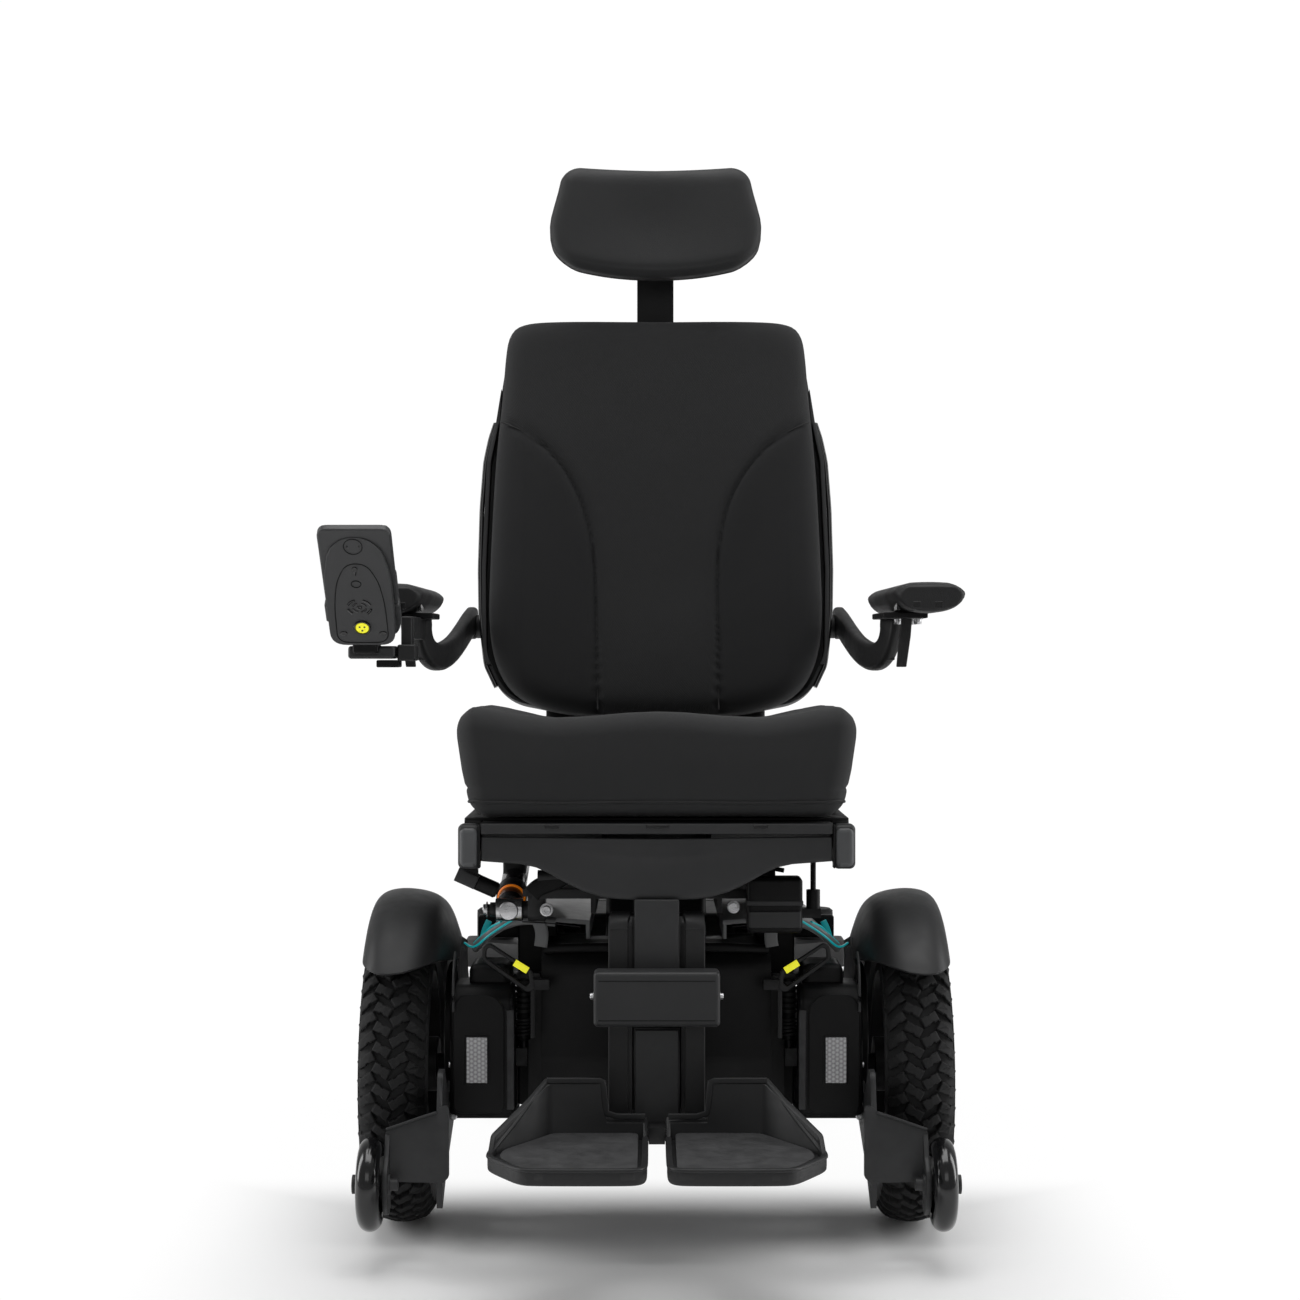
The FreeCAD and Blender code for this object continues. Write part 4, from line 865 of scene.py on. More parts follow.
# ------------------------------------------------------------------ back cushion
# half outline from the top middle to the bottom middle: x, z
BACK_OUTLINE = smooth_line([
    (0, 1078.5), (120, 1079.5), (172, 1076), (187, 1060), (191, 1030), (194, 980), (199, 930),
    (203, 880), (206.5, 800), (208.5, 740), (209, 700), (206, 662), (197, 630), (182, 606),
    (160, 590), (128, 580), (90, 575), (0, 573)])
# seams, right side then left: x, height once leaned
SEAM_POINTS = (
    [(-195.41, 939.64), (-189.12, 938.37), (-155.1, 923.1), (-118.52, 888.83),
     (-94.54, 845.83), (-81.88, 803.01), (-75.5, 759.1), (-72.64, 643.33), (-71.8, 575.47)],
    [(196.48, 939.64), (187.68, 938.37), (149.86, 918.65), (118.3, 886.93),
     (93.04, 845.83), (81.61, 803.01), (76.44, 759.1), (77.21, 643.33), (78.17, 575.47)])
SEAMS = [smooth_line([(x, LEAN_Z + (z - LEAN_Z) / math.cos(LEAN)) for x, z in points])
         for points in SEAM_POINTS]
# side wall from the rear rim forward: outline scale, y
BACK_WALL = [(0.955, 262.0), (0.985, 258.0), (0.998, 250.0), (1.0, 242.0), (1.0, 234.0),
             (0.999, 228.0), (0.996, 222.5)]
BACK_MIDDLE_Z = 820.0
INWARD = 60                 # far enough from the edge to be clear of its rounding


def crossings(line, z):
    """x of each place where a line passes height z."""
    return [xa + (xb - xa) * (z - za) / (zb - za)
            for (xa, za), (xb, zb) in zip(line, line[1:])
            if (za - z) * (zb - z) <= 0 and za != zb]


def line_distance(px, pz, line):
    best = 1e9
    for (ax, az), (bx, bz) in zip(line, line[1:]):
        dx, dz = bx - ax, bz - az
        t = max(0.0, min(1.0, ((px - ax) * dx + (pz - az) * dz) / (dx * dx + dz * dz)))
        best = min(best, math.hypot(px - ax - dx * t, pz - az - dz * t))
    return best


def back_face_y(x, z, inward):
    """Front surface before leaning; inward is the distance from the edge."""
    y = 202.0
    if inward < INWARD:
        y += 19.0 * math.exp(-(inward / 9.5))
    a = abs(x) / 200.0
    # the wings come forward at the sides, the middle is hollow
    wing = max(0.0, min(1.0, (a - 0.38) / 0.45)) ** 1.4
    y += (7.0 - 13.0 * wing) * bell(z - 730, 170.0)
    y -= 2.2 * bell(z - 660, 60.0) * bell(a, 0.4)
    seam = min(line_distance(x, z, line) for line in SEAMS)
    y += 3.4 * bell(seam, 2.0) + 2.2 * bell(seam, 9.0)
    return y + 0.5 * ripple(x, 0, z, 0.02, 3)


def back_side_cloth(face):
    """True on the side wall and outside the seams."""
    x, y, z = from_world(face.center)
    y, z = y - LEAN_Y, z - LEAN_Z
    upright_z = LEAN_Z + z * math.cos(LEAN) + y * math.sin(LEAN)
    upright_y = LEAN_Y + y * math.cos(LEAN) - z * math.sin(LEAN)
    low, high = (crossings(line, upright_z) for line in SEAMS)
    return upright_y > 224 or bool(low and high and (x < low[-1] or x > high[-1]))


def back_cushion():
    ring_count, n = 64, 250     # rings from the edge inward, points round the outline
    turns = [i / n * 2 for i in range(n)]
    half = resample(BACK_OUTLINE, [t if t <= 1 else 2 - t for t in turns])
    outline = [(x if t <= 1 else -x, z) for t, (x, z) in zip(turns, half)]
    verts = []
    for k, y in BACK_WALL:
        kz = k if k > 0.99 else k + 0.012
        verts += [lean((x * k, y, BACK_MIDDLE_Z + (z - BACK_MIDDLE_Z) * kz))
                  for x, z in outline]
    for i in range(ring_count):
        k = (1 - (i + 1) / ring_count) ** 0.92
        for x, z in outline:
            fx, fz = x * k, BACK_MIDDLE_Z + (z - BACK_MIDDLE_Z) * k
            inward = max(0.0, math.hypot(x - fx, z - fz) - 0.5)
            verts.append(lean((fx, back_face_y(fx, fz, inward), fz)))
    faces = []
    for r in range(len(BACK_WALL) + ring_count - 1):
        for i in range(n):
            j = (i + 1) % n
            faces.append((r * n + i, r * n + j, (r + 1) * n + j, (r + 1) * n + i))
    faces.append(tuple(range(n)))
    o = mesh("back_cushion_cover", verts, faces, ("back", "backside"))
    for face in o.data.polygons:
        face.material_index = 1 if back_side_cloth(face) else 0
    sharpen(o, 80)
    put(o, "back", "fabric_black", "back_cushion")


def back_seam(index, line):
    points = []
    for a, b in zip(line, line[1:]):
        steps = max(1, int(math.hypot(b[0] - a[0], b[1] - a[1]) / 4))
        points += [(a[0] + (b[0] - a[0]) * q / steps, a[1] + (b[1] - a[1]) * q / steps)
                   for q in range(steps)]
    path = [lean((x, back_face_y(x, z, INWARD) - 0.2, z)) for x, z in points
            if abs(x) < max(crossings(BACK_OUTLINE, z), default=0) - 3 and 578 < z < 1070]
    sweep(f"back_seam_{index}", path, ring(1.0, 6), "piping", "back", "fabric_black")


back_cushion()
for i, line in enumerate(SEAMS):
    back_seam(i, line)

# ------------------------------------------------------------------ headrest
# half width over the height share
HEAD_WIDTH = [(0, 119), (0.1, 125.5), (0.18, 129.5), (0.28, 132.3), (0.37, 132.8), (0.46, 131.4),
              (0.59, 127.2), (0.73, 122.4), (0.9, 117.6), (1, 115.5)]
HINGE_Y, HINGE_Z = 344, 1166


def headrest_point(u, v, w):
    across, depth, up = round_cube(u, v, w, (0.20, 0.42, 0.34))
    rise = (up + 1) / 2
    x = across * lin(rise, HEAD_WIDTH)
    a = abs(across)
    top = 1256 + 3.2 * a ** 2.2 - 1.4 * (1 - a)
    bottom = 1121 + 17.0 * a ** 2.2
    z = bottom + (top - bottom) * rise
    y = 271 + depth * 29
    # hollow face that cradles the head, with swollen edges
    if depth < 0:
        y += (10.0 * (-depth) * bell(a, 0.55) * bell(rise - 0.5, 0.42)
              - 7.0 * (-depth) * a ** 3)
    y += 10.0 * ((rise - 0.5) ** 2) * (-1 if depth > 0 else 0.6)
    if depth < -0.3:
        # lower edge band that turns under along a shallow crease
        d = z - bottom - 11.5
        y += (0.55 * max(0.0, -d) + 1.5 * bell(d, 2.0)) * (1 - a ** 6)
    y += 0.4 * ripple(x, y, z, 0.03, 4)
    return (x, y, z)


def headrest():
    cover = soft_box("headrest_cover", headrest_point, (80, 26, 56), "head")
    sharpen(cover, 80)
    put(cover, "head_pad", "soft_black", "headrest_pad")
    box("headrest_back_plate", (-56, 56, 292, 306, 1147, 1205), "charcoal",
        "head_pad", "charcoal_plastic", bev=4.0)
    for s in (1, -1):
        lathe(f"headrest_ear_{s + 1}", X_AXIS, (s * 20.2, HINGE_Y, HINGE_Z),
              sleeve(0, s * 7.6, 6.4, 11), "pcoat", "head_pad", "black_metal",
              seg=32, closed=True)
        box(f"headrest_ear_web_{s + 1}", mirrored(s, 20.2, 27.8, 308, 336, 1157, 1175),
            "pcoat", "head_pad", "black_metal", bev=1.2)
        bolt(f"headrest_hinge_bolt_{s + 1}", (s * 29, HINGE_Y, HINGE_Z), (s, 0, 0),
             6, 5, "head_post")
    # seam round the edge of the cover
    path = []
    for i in range(120):
        a = 2 * math.pi * i / 120
        c, q = math.cos(a), math.sin(a)
        m = max(abs(c), abs(q))
        path.append(headrest_point(c / m, 0.35, q / m))
    sweep("headrest_piping", path, ring(1.1, 8), "piping", "head_pad", "soft_black",
          up=Y_AXIS, closed=True)
    box("head_post_plate", (-23.5, 23.2, 322, 340, 1050, 1131.8), "black",
        "head_post", "black_metal", bev=0.6)
    box("head_post_bridge", (-12, 12, 338, 374, 1084, 1106), "black",
        "head_post", "black_metal", bev=2.0)
    for i, x in enumerate((-15.3, -9.5, -3.1, 2.8, 9.1, 15.6)):
        box(f"post_notch_{i}", (x - 1.2, x + 1.2, 323, 339, 1131, 1135.5), "black",
            "head_post", "black_metal", bev=0.2)


headrest()

# ------------------------------------------------------------------ back shell
# half width of the rolled shell edge: z, x
SHELL_EDGE = [(596, 192), (640, 213), (700, 220), (760, 221.5), (840, 220), (900, 216),
              (930, 210), (952, 203)]
for s in (1, -1):
    sweep(f"shell_edge_{s + 1}",
          [lean((s * lin(z, SHELL_EDGE), 243.5, z)) for z in np.linspace(612, 950, 40)],
          round_rect(6.0, 9.0, 2.6), "blackgloss", "back", "charcoal_plastic",
          up=Y_AXIS, passes=1)
for s in (1, -1):
    for z in (620, 760, 900, 1010):
        bolt(f"post_bolt_{s + 1}_{z}", lean((s * 130, 306, z)),
             (0, math.cos(LEAN), -math.sin(LEAN)), 5, 4, "back")
sweep("back_lumbar_rib_a", [lean((-150, 287, 700)), lean((150, 287, 700))],
      round_rect(6, 14, 2.5), "charcoal", "back", "charcoal_plastic")
for i, z in enumerate((740, 780, 820, 860, 900)):
    sweep(f"back_vent_{i}",
          [lean((-92, 286.3, z)), lean((-40, 286.6, z + 10)),
           lean((40, 286.6, z + 10)), lean((92, 286.3, z))],
          round_rect(2.0, 8, 0.9), "blackgloss", "back", "charcoal_plastic", passes=2)
lathe("headrest_clamp_knob", (0, 1, -0.1), lean((0, 312, 1005)),
      [(0, 0), (0, 6), (6, 6), (6, 13), (9, 15), (16, 15), (19, 12), (19.5, 0)],
      "black", "back", "black_metal", seg=20)

# ------------------------------------------------------------------ armrests
PAD_X, PAD_HALF_WIDTH, PAD_REAR = 301, 39, 230
# factor on the pad's width over the height share, and over the length
PAD_SECTION = [(0, 0.78), (0.2, 0.90), (0.4, 0.975), (0.56, 1.0), (0.66, 0.975), (0.8, 0.875),
               (0.92, 0.74), (1, 0.60)]
PAD_TAPER = [(-1, 0.96), (-0.9, 1.0), (0.85, 1.0), (1, 0.93)]
# the arm from the back post forward, then up under the pad: x, y, z
ARM_PATH = [(236, 326, 691), (238.5, 290, 684), (243, 235, 669), (247.5, 180, 656),
            (251, 130, 648.5), (257, 90, 643.5), (264, 60, 645), (270, 42, 655),
            (273, 34, 670), (274, 32, 688)]
# flat hanging bar under the pad: x, z
HANGING_BAR = [(279, 689), (290.5, 689), (289, 668), (284, 632.7), (273, 632.7), (275, 655)]
# carrier for the control module under the right pad: name, limits, material, bevel, segments
CONTROL_CARRIER = (
    ("control_rail", (-279, -267, -112, 24, 664, 689), "pcoat", 1.5, 3),
    ("control_drop", (-280, -268, -124, -100, 652, 689), "pcoat", 2.0, 3),
    ("control_block_b", (-283, -263, -136, -98, 640, 658), "pcoat", 2.4, 4),
    ("control_foot", (-306, -281, -134, -104, 633, 641), "black", 1.6, 3),
)


def pad_shape(s, front):
    middle, half = (front + PAD_REAR) / 2, (PAD_REAR - front) / 2

    def point(u, v, w):
        across, along, up = round_cube(u, v, w, (0.14, 0.06, 0.24))
        rise = (up + 1) / 2
        x = PAD_X + across * PAD_HALF_WIDTH * lin(rise, PAD_SECTION)
        x = PAD_X + (x - PAD_X) * lin(along, PAD_TAPER)
        top = 727.3 - 1.0 * across * across - 3.0 * max(0.0, (-along - 0.86)) / 0.14
        bottom = 693.2 + 7.5 * abs(across) ** 2.4
        z = bottom + (top - bottom) * rise
        y = middle + along * half
        z += 0.25 * ripple(x, y, z, 0.03, 9)
        return (s * x, y, z)
    return point


def armrest(side, s, front):
    """One armrest; front is the y of the pad's front end."""
    body = "armrest_" + side
    pad = soft_box("armrest_pad_cover_" + side, pad_shape(s, front), (40, 90, 20), "pad")
    sharpen(pad, 80)
    put(pad, body, "soft_black", "armrest_pad_" + side)
    box("pad_carrier_" + side, mirrored(s, 254, 304, max(front + 42, -72), 62, 687.6, 694.4),
        "black", body, "charcoal_plastic", bev=1.6)
    for k, x in enumerate((280.4, 304.2)):
        box(f"pad_recess_{k}_{side}",
            mirrored(s, x, x + 9.4, front - 0.2, front + 16, 697.6, 705.2),
            "blackgloss", body, "charcoal_plastic", bev=0.6)
    for k in range(3):
        x, y = k * 1.6, front + k * 24
        box(f"pad_slot_{k}_{side}",
            mirrored(s, 267.2 + x, 271 + x, y + 40, y + 52, 696.5, 704),
            "blackgloss", body, "charcoal_plastic", bev=0.5)
    path = [(s * x, y, z) for x, y, z in ARM_PATH]
    sweep("arm_tube_" + side, path, round_rect(16, 33, 6.0, 5), "pcoat", body, "black_metal",
          passes=3, replaces="armrest_arm_" + side)
    sweep("arm_groove_" + side, [(x + s * 7.4, y, z) for x, y, z in path[1:-2]],
          round_rect(2.4, 13, 1.1, 3), "blackgloss", body, "black_metal", passes=3)
    lathe("arm_hub_" + side, X_AXIS, (s * 229.6, 312, 682),
          [(0, 9.2), (0, 15), (s * 1.5, 16), (s * 11, 16), (s * 12, 15), (s * 12, 9.2)],
          "pcoat", body, "black_metal", seg=40, closed=True)
    near, far = ([(s * x, y, z) for x, z in HANGING_BAR] for y in (-34, -26))
    prism("hanging_bar_" + side, near, far, "pcoat", body, "black_metal", bev=1.0)
    for i, y in enumerate((-5, 50)):
        for j, x in enumerate((277, 300)):
            bolt(f"pad_screw_{i}{j}_{side}", (s * x, y, 688), (0, 0, -1), 4.3, 6.5, body)
    box("arm_strut_" + side, mirrored(s, 267, 278, 34, 46, 640, 690), "pcoat",
        body, "black_metal", bev=1.6)
    if side == "right":
        for name, limits, material, bev, seg in CONTROL_CARRIER:
            box(name, limits, material, body, "black_metal", bev, seg)


armrest("left", 1, front=-130.0)
armrest("right", -1, front=-70.0)

# ------------------------------------------------------------------ control module
MODULE_TILT = math.radians(43.8)
TILT_COS, TILT_SIN = math.cos(MODULE_TILT), math.sin(MODULE_TILT)
MODULE_PLACE = (-314, -186, 716)
MODULE_UP = Vector((0, TILT_SIN, TILT_COS))     # out of the top face
MODULE_X = -3.5                                 # middle line of the underside
# direction out of the sloping underside, in module axes then in the chair's
SLOPE = Vector((0, -0.1194, -1.0)).normalized()
MODULE_DOWN = Vector((0, SLOPE.y * TILT_COS + SLOPE.z * TILT_SIN,
                      SLOPE.z * TILT_COS - SLOPE.y * TILT_SIN))
MODULE_PART = ("joy_module", "charcoal_plastic")


def on_module(x, y, z):
    """From module axes (z out of its top) to the chair's."""
    mx, my, mz = MODULE_PLACE
    return (mx + x, my + y * TILT_COS + z * TILT_SIN, mz + z * TILT_COS - y * TILT_SIN)


def underside_z(y):
    return -2.0 - 16.0 * (y + 70.0) / 134.0


def underside(x, y, depth=0):
    """Point on the underside, or depth outside it."""
    return on_module(x, y, underside_z(y) - depth)


def top_plate(name, outline, z0, z1, material, bev, replaces=None):
    near, far = ([on_module(x, y, z) for x, y in outline] for z in (z0, z1))
    prism(name, near, far, material, *MODULE_PART, bev=bev, seg=3, replaces=replaces)


def under_plate(name, outline, height, material, bev):
    near, far = ([underside(x, y, h) for x, y in outline] for h in (height, -0.2))
    prism(name, near, far, material, *MODULE_PART, bev=bev, seg=3, flip=True)


def under_turned(name, x, y, profile, material, seg=40, depth=0):
    lathe(name, MODULE_DOWN, underside(x, y, depth), profile, material, *MODULE_PART, seg=seg)


def under_line(name, loop, width):
    sweep(name, [underside(x, y, 0.25) for x, y in loop], ring(width, 6), "black",
          *MODULE_PART, up=MODULE_DOWN, closed=True)


def oval(cx, cy, rx, n=40, ry=None):
    return [(cx + rx * math.cos(2 * math.pi * i / n), cy + (ry or rx) * math.sin(2 * math.pi * i / n))
            for i in range(n)]


def module_body():
    slab = [(-42, -88.5), (36, -88.5), (36, 58), (30, 70), (-36, 70), (-42, 58)]
    top_plate("module_slab", round_polygon(slab, 12, 8), 0.0, 9.2, "module", bev=2.2,
              replaces="joystick_housing")
    for s, x in ((-1, -43.5), (1, 30.5)):
        ear = box_mesh(f"module_ear_{s + 1}", (0, 7, 0, 26, 0, 11), "module", 2.0, 4)
        ear.data.transform(Matrix.Translation(Vector(world(on_module(x, 20, -3))))
                           @ Matrix.Rotation(-MODULE_TILT, 4, "X")
                           @ Matrix.Translation(-Vector(world((0, 0, 0)))))
        put(ear, *MODULE_PART)
    box("control_block_a", (-336, -285, -142, -98, 642.4, 656.4), "charcoal",
        *MODULE_PART, bev=3.4, seg=5, replaces="joystick_mount")
    box("control_stem", (-330, -302, -150, -120, 648, 662), "black",
        "joy_module", "black_metal", bev=3.0, seg=4)
    deck = [(-42, -20), (36, -20)] + slab[2:]
    top_plate("module_deck", round_polygon(deck, 8, 6), 6.0, 16.2, "module", bev=2.4)
    # wedge under the slab: half outline (x from the middle line, y)
    right = [(35, 66), (36, 10), (35, -30), (28, -62), (12, -78)]
    arch = [(MODULE_X - 35, 66)] + [(MODULE_X + x, y) for x, y in right]
    arch += [(MODULE_X - x, y) for x, y in right[:0:-1]]
    arch = round_polygon(arch, 17, 7)
    prism("module_wedge", [underside(x, y) for x, y in arch],
          [on_module(x, y, 0.2 if y < 0 else -2.2) for x, y in arch],
          "module", *MODULE_PART, bev=2.4, seg=4, flip=True)


# arcs of the grille: x radius, y radius, start and end in degrees, line radius
GRILLE_ARCS = (
    (12.6, 10.2, 200, 250, 1.35), (12.6, 10.2, 290, 340, 1.35), (12.6, 10.2, 10, 50, 1.35),
    (12.6, 10.2, 130, 170, 1.35), (7.2, 5.8, 195, 255, 0.95), (7.2, 5.8, 285, 345, 0.95),
    (7.2, 5.8, 15, 75, 0.95), (7.2, 5.8, 105, 165, 0.95), (1.9, 1.6, 0, 350, 0.95))


def module_underside():
    right = [(28, 62), (27, 10), (22, -22), (10, -44)]
    inner = [(MODULE_X - 28, 62)] + [(MODULE_X + x, y) for x, y in right]
    inner += [(MODULE_X - x, y) for x, y in right[:0:-1]]
    under_line("module_inner_line", round_polygon(inner, 14, 7), 0.55)
    plug_x, plug_y = -4.7, -66.5
    under_line("module_plug_line", oval(plug_x, plug_y, 9.8), 0.5)
    for i, dx in enumerate((-6.4, 6.4)):
        under_turned(f"module_plug_dot_{i}", plug_x + dx, plug_y,
                     [(0, 0), (0, 1.25), (0.5, 1.1), (0.6, 0)], "blackgloss", seg=12)
    under_turned("keyhole", -5.2, -37, [(0, 0), (0, 3.1), (1.0, 2.9), (1.1, 0)],
                 "blackgloss", seg=20)
    under_plate("keyhole_slot", [(-6.6, -36), (-3.8, -36), (-4.2, -29.5), (-6.2, -29.5)],
                1.0, "blackgloss", bev=0)
    under_line("small_circle", oval(-5.2, -17.2, 5.2, 32, 4.4), 0.5)
    for j, (rx, ry, start, end, width) in enumerate(GRILLE_ARCS):
        angles = [math.radians(start + (end - start) * i / 12) for i in range(13)]
        path = [underside(-4.1 + rx * math.cos(a), 14.3 + ry * math.sin(a), 0.1)
                for a in angles]
        sweep(f"grille_arc_{j}", path, ring(width, 8), "blackgloss", *MODULE_PART,
              up=MODULE_DOWN)
    socket_x, socket_y = -3.1, 41.3
    under_turned("socket_ring", socket_x, socket_y,
                 [(0, 9.4), (1.6, 9.4), (2.2, 8.8), (2.2, 7.8), (0.6, 7.3), (0.2, 6.8), (0, 0)],
                 "blackgloss")
    under_turned("socket_face", socket_x, socket_y,
                 [(0, 7.1), (1.2, 7.1), (1.7, 6.6), (1.8, 0)], "yellow")
    for i, (dx, dy) in enumerate(((-2.6, -1.8), (2.6, -1.8), (0, 2.9))):
        under_turned(f"socket_pin_{i}", socket_x + dx, socket_y + dy,
                     [(0, 0), (0, 1.2), (0.35, 1.2), (0.4, 0)], "blackgloss",
                     seg=12, depth=1.6)
    for i, x in enumerate((-23.9, 18.8)):
        under_plate(f"screw_oval_{i}", oval(x, 49, 4.0, 20, 2.4), 1.1, "blackgloss", bev=0.2)


def module_top():
    bezel = [(-39, -86), (33, -86), (33, -24), (-39, -24)]
    glass = [(-33, -81), (27, -81), (27, -30), (-33, -30)]
    top_plate("display_bezel", round_polygon(bezel, 5, 5), 8.6, 10.4, "black", bev=0.7)
    top_plate("display_glass", round_polygon(glass, 3, 4), 10.2, 11.0, "screen", bev=0.3)
    for i, (x, y) in enumerate(((-27, -14), (27, -14), (-27, 4), (27, 4))):
        lathe(f"key_{i}", MODULE_UP, on_module(x, y, 16.0),
              [(0, 6.5), (1.6, 6.5), (2.2, 5.8), (2.3, 0)], "mat", *MODULE_PART, seg=28)
    folds = [(0, 21.5), (1.5, 21), (2.5, 18.6), (3.2, 19.2), (4.4, 18.4), (5.2, 15.6),
             (6.0, 16.2), (7.4, 15.2), (8.2, 13.0), (9.2, 13.2), (11, 12.2), (12, 11.0)]
    lathe("gaiter_folds", MODULE_UP, on_module(0, 32, 16), folds, "gaiter",
          "joy_gimbal", "soft_black", seg=48)


module_body()
module_underside()
module_top()

# ------------------------------------------------------------------ knee cover and seat front
# lower edge of the knee cover: x from the middle, z
KNEE_LOW = [(0, 390.5), (40, 391.5), (58, 394), (76, 399.5), (96, 409), (112, 418),
            (126, 424.5), (142, 428), (183.5, 431)]


def knee_cover():
    nx, nz = 96, 22
    rear, front = -239.0, -244.0
    verts, faces = [], []
    for base in (rear, front):
        for i in range(nx + 1):
            x = -183.5 + 367.0 * i / nx
            low = lin(abs(x), KNEE_LOW)
            height = 457.0 - 2.2 * bell(x, 120.0) - low
            crease = 452 - 17.0 * bell(x, 105.0)
            for j in range(nz + 1):
                t = j / nz
                y, z = base, low + height * t
                if base == front:
                    # swollen lobe below a soft crease under the top edge
                    if z < crease:
                        y -= 3.2 * bell(x, 110.0) * (1 - math.exp(-(crease - z) / 8.0))
                    edge = min(t, 1 - t) * height
                    y += 2.2 * math.exp(-edge / 1.8) * 0.6
                verts.append((x, y, z))
    m = nz + 1
    off = (nx + 1) * m
    for i in range(nx):
        for j in range(nz):
            a, b, c, d = i * m + j, (i + 1) * m + j, (i + 1) * m + j + 1, i * m + j + 1
            faces.append((off + a, off + b, off + c, off + d))
            faces.append((a, d, c, b))
    for i in range(nx):
        a, b = i * m, (i + 1) * m
        faces.append((a, b, off + b, off + a))
        faces.append((a + nz, off + a + nz, off + b + nz, b + nz))
    last = nx * m
    for j in range(nz):
        faces.append((j, off + j, off + j + 1, j + 1))
        faces.append((last + j, last + j + 1, off + last + j + 1, off + last + j))
    o = mesh("knee_cover_panel", verts, faces, "charcoal")
    sharpen(o, 50)
    bevel(o, 1.2, 3, 50)
    put(o, "legrest", "black_plastic", "knee_cover")


knee_cover()
box("front_trim_strip", (-184, 184, -246.5, -239, 459.6, 470.4), "charcoal",
    "seat", "charcoal_plastic", bev=1.6)
for i, (x0, x1) in enumerate(((-117, -102), (-11, 13), (101, 116))):
    box(f"trim_slot_{i}", (x0, x1, -247.4, -244, 465.5, 469.6), "blackgloss",
        "seat", "charcoal_plastic", bev=0.6)
for s in (1, -1):
    box(f"end_cap_face_{s + 1}", mirrored(s, 186.5, 206.5, -248.6, -233, 424.6, 467), "endcap",
        "seat", "charcoal_plastic", bev=6.5, seg=6)
    box(f"end_cap_lip_{s + 1}", mirrored(s, 184.6, 186.6, -247, -232, 424, 469), "black",
        "seat", "charcoal_plastic", bev=0.6)
    for y in (-160, -40, 80, 180):
        bolt(f"rail_bolt_{s + 1}_{y}", (s * 206, y, 447), (s, 0, 0), 5, 4, "seat")

# ------------------------------------------------------------------ leg rest
for s in (1, -1):
    box(f"leg_strip_{s + 1}", mirrored(s, 29.5, 50.4, -252.6, -246, 168, 364), "pcoat",
        "legrest", "black_metal", bev=1.6)
    sweep(f"leg_strip_cap_{s + 1}",
          [(s * 40, -251.4, 361), (s * 40, -249.5, 368), (s * 38, -243, 373),
           (s * 37, -232, 376)],
          round_rect(21, 4.5, 1.4), "pcoat", "legrest", "black_metal", passes=2)
box("leg_centre_strip", (-23, 23, -254.4, -249, 262, 392), "charcoal",
    "legrest", "black_metal", bev=1.2, seg=2)
box("leg_centre_low", (-22.5, 22.5, -251.6, -248.4, 152, 256), "charcoal",
    "leg_carriage", "black_metal", bev=1.0, seg=2)
box("calf_case", (-65.2, 65.2, -288.4, -254, 264.4, 321.4), "charcoal",
    "legrest", "black_plastic", bev=5.0, seg=5)
for name, z in (("top", 312.0), ("low", 271.5)):
    sweep("calf_seam_" + name, [(-60, -288.3, z), (60, -288.3, z)],
          round_rect(0.9, 1.1, 0.3), "black", "legrest", "black_plastic")
for s in (1, -1):
    bolt(f"calf_screw_{s + 1}", (s * 65.0, -270, 294), (s, 0, 0), 3.4, 4, "legrest")

# ------------------------------------------------------------------ footplates
# outline of the mat: x, y
FOOT_MAT = [(19, -288), (19, -430), (29, -437), (126, -437), (156, -384), (154, -357),
            (106, -288)]
# edge of the plate from the outer rear corner round the front to the inner side: x, y, z
FOOT_RIM = [(114, -281, 209), (128, -302, 196), (146, -330, 174), (163, -356, 157),
            (167.6, -372, 152.6), (166.5, -386, 152), (150, -414, 152), (134, -442, 152),
            (118, -446, 152), (30, -446, 152), (16, -442, 152), (11, -432, 152),
            (10.5, -400, 152), (10.5, -330, 152), (10.5, -300, 153)]
# deeper nose below the rim
FOOT_NOSE = [(164.5, -358, 148), (167.0, -372, 146), (165.5, -386, 145.5), (149.5, -413, 145),
             (133.5, -441, 145), (118, -445, 145), (30, -445, 145), (16.5, -441, 145),
             (11.6, -431, 145), (11.2, -400, 146)]
# raised rear edge: x, z
FOOT_BACK = [(12, 172.6), (51, 172.6), (53.5, 186), (55, 208), (60, 209.4), (113, 209.4)]


def inset(path, s, outer, inner):
    """Mirrors an edge path and moves it inward; the front moves back by inner."""
    return [(s * (x - outer if x > 20 else x + inner), y + (inner if y < -430 else 0), z)
            for x, y, z in path]


def footplate(side, s):
    part = ("footplate_" + side, "mat_grey")
    outline = round_polygon(FOOT_MAT, 9, 5)
    prism("foot_mat_" + side, [(s * x, y, 147.6) for x, y in outline],
          [(s * x, y, 156.6 - 6.4 * (-288 - y) / 149.0) for x, y in outline],
          "mat", *part, bev=0.8)
    sweep("foot_rim_" + side, inset(FOOT_RIM, s, 1.4, 1.4), round_rect(6.5, 4.2, 1.9),
          "foot", *part, passes=2)
    sweep("foot_nose_" + side, inset(FOOT_NOSE, s, 1.6, 1.2), round_rect(5.6, 16.0, 2.7),
          "foot", *part, passes=2)
    sweep("foot_back_rim_" + side, [(s * x, -285.2, z) for x, z in FOOT_BACK],
          round_rect(6.4, 3.0, 1.3), "foot", *part, up=Y_AXIS, passes=1)


for side, s in SIDES:
    footplate(side, s)

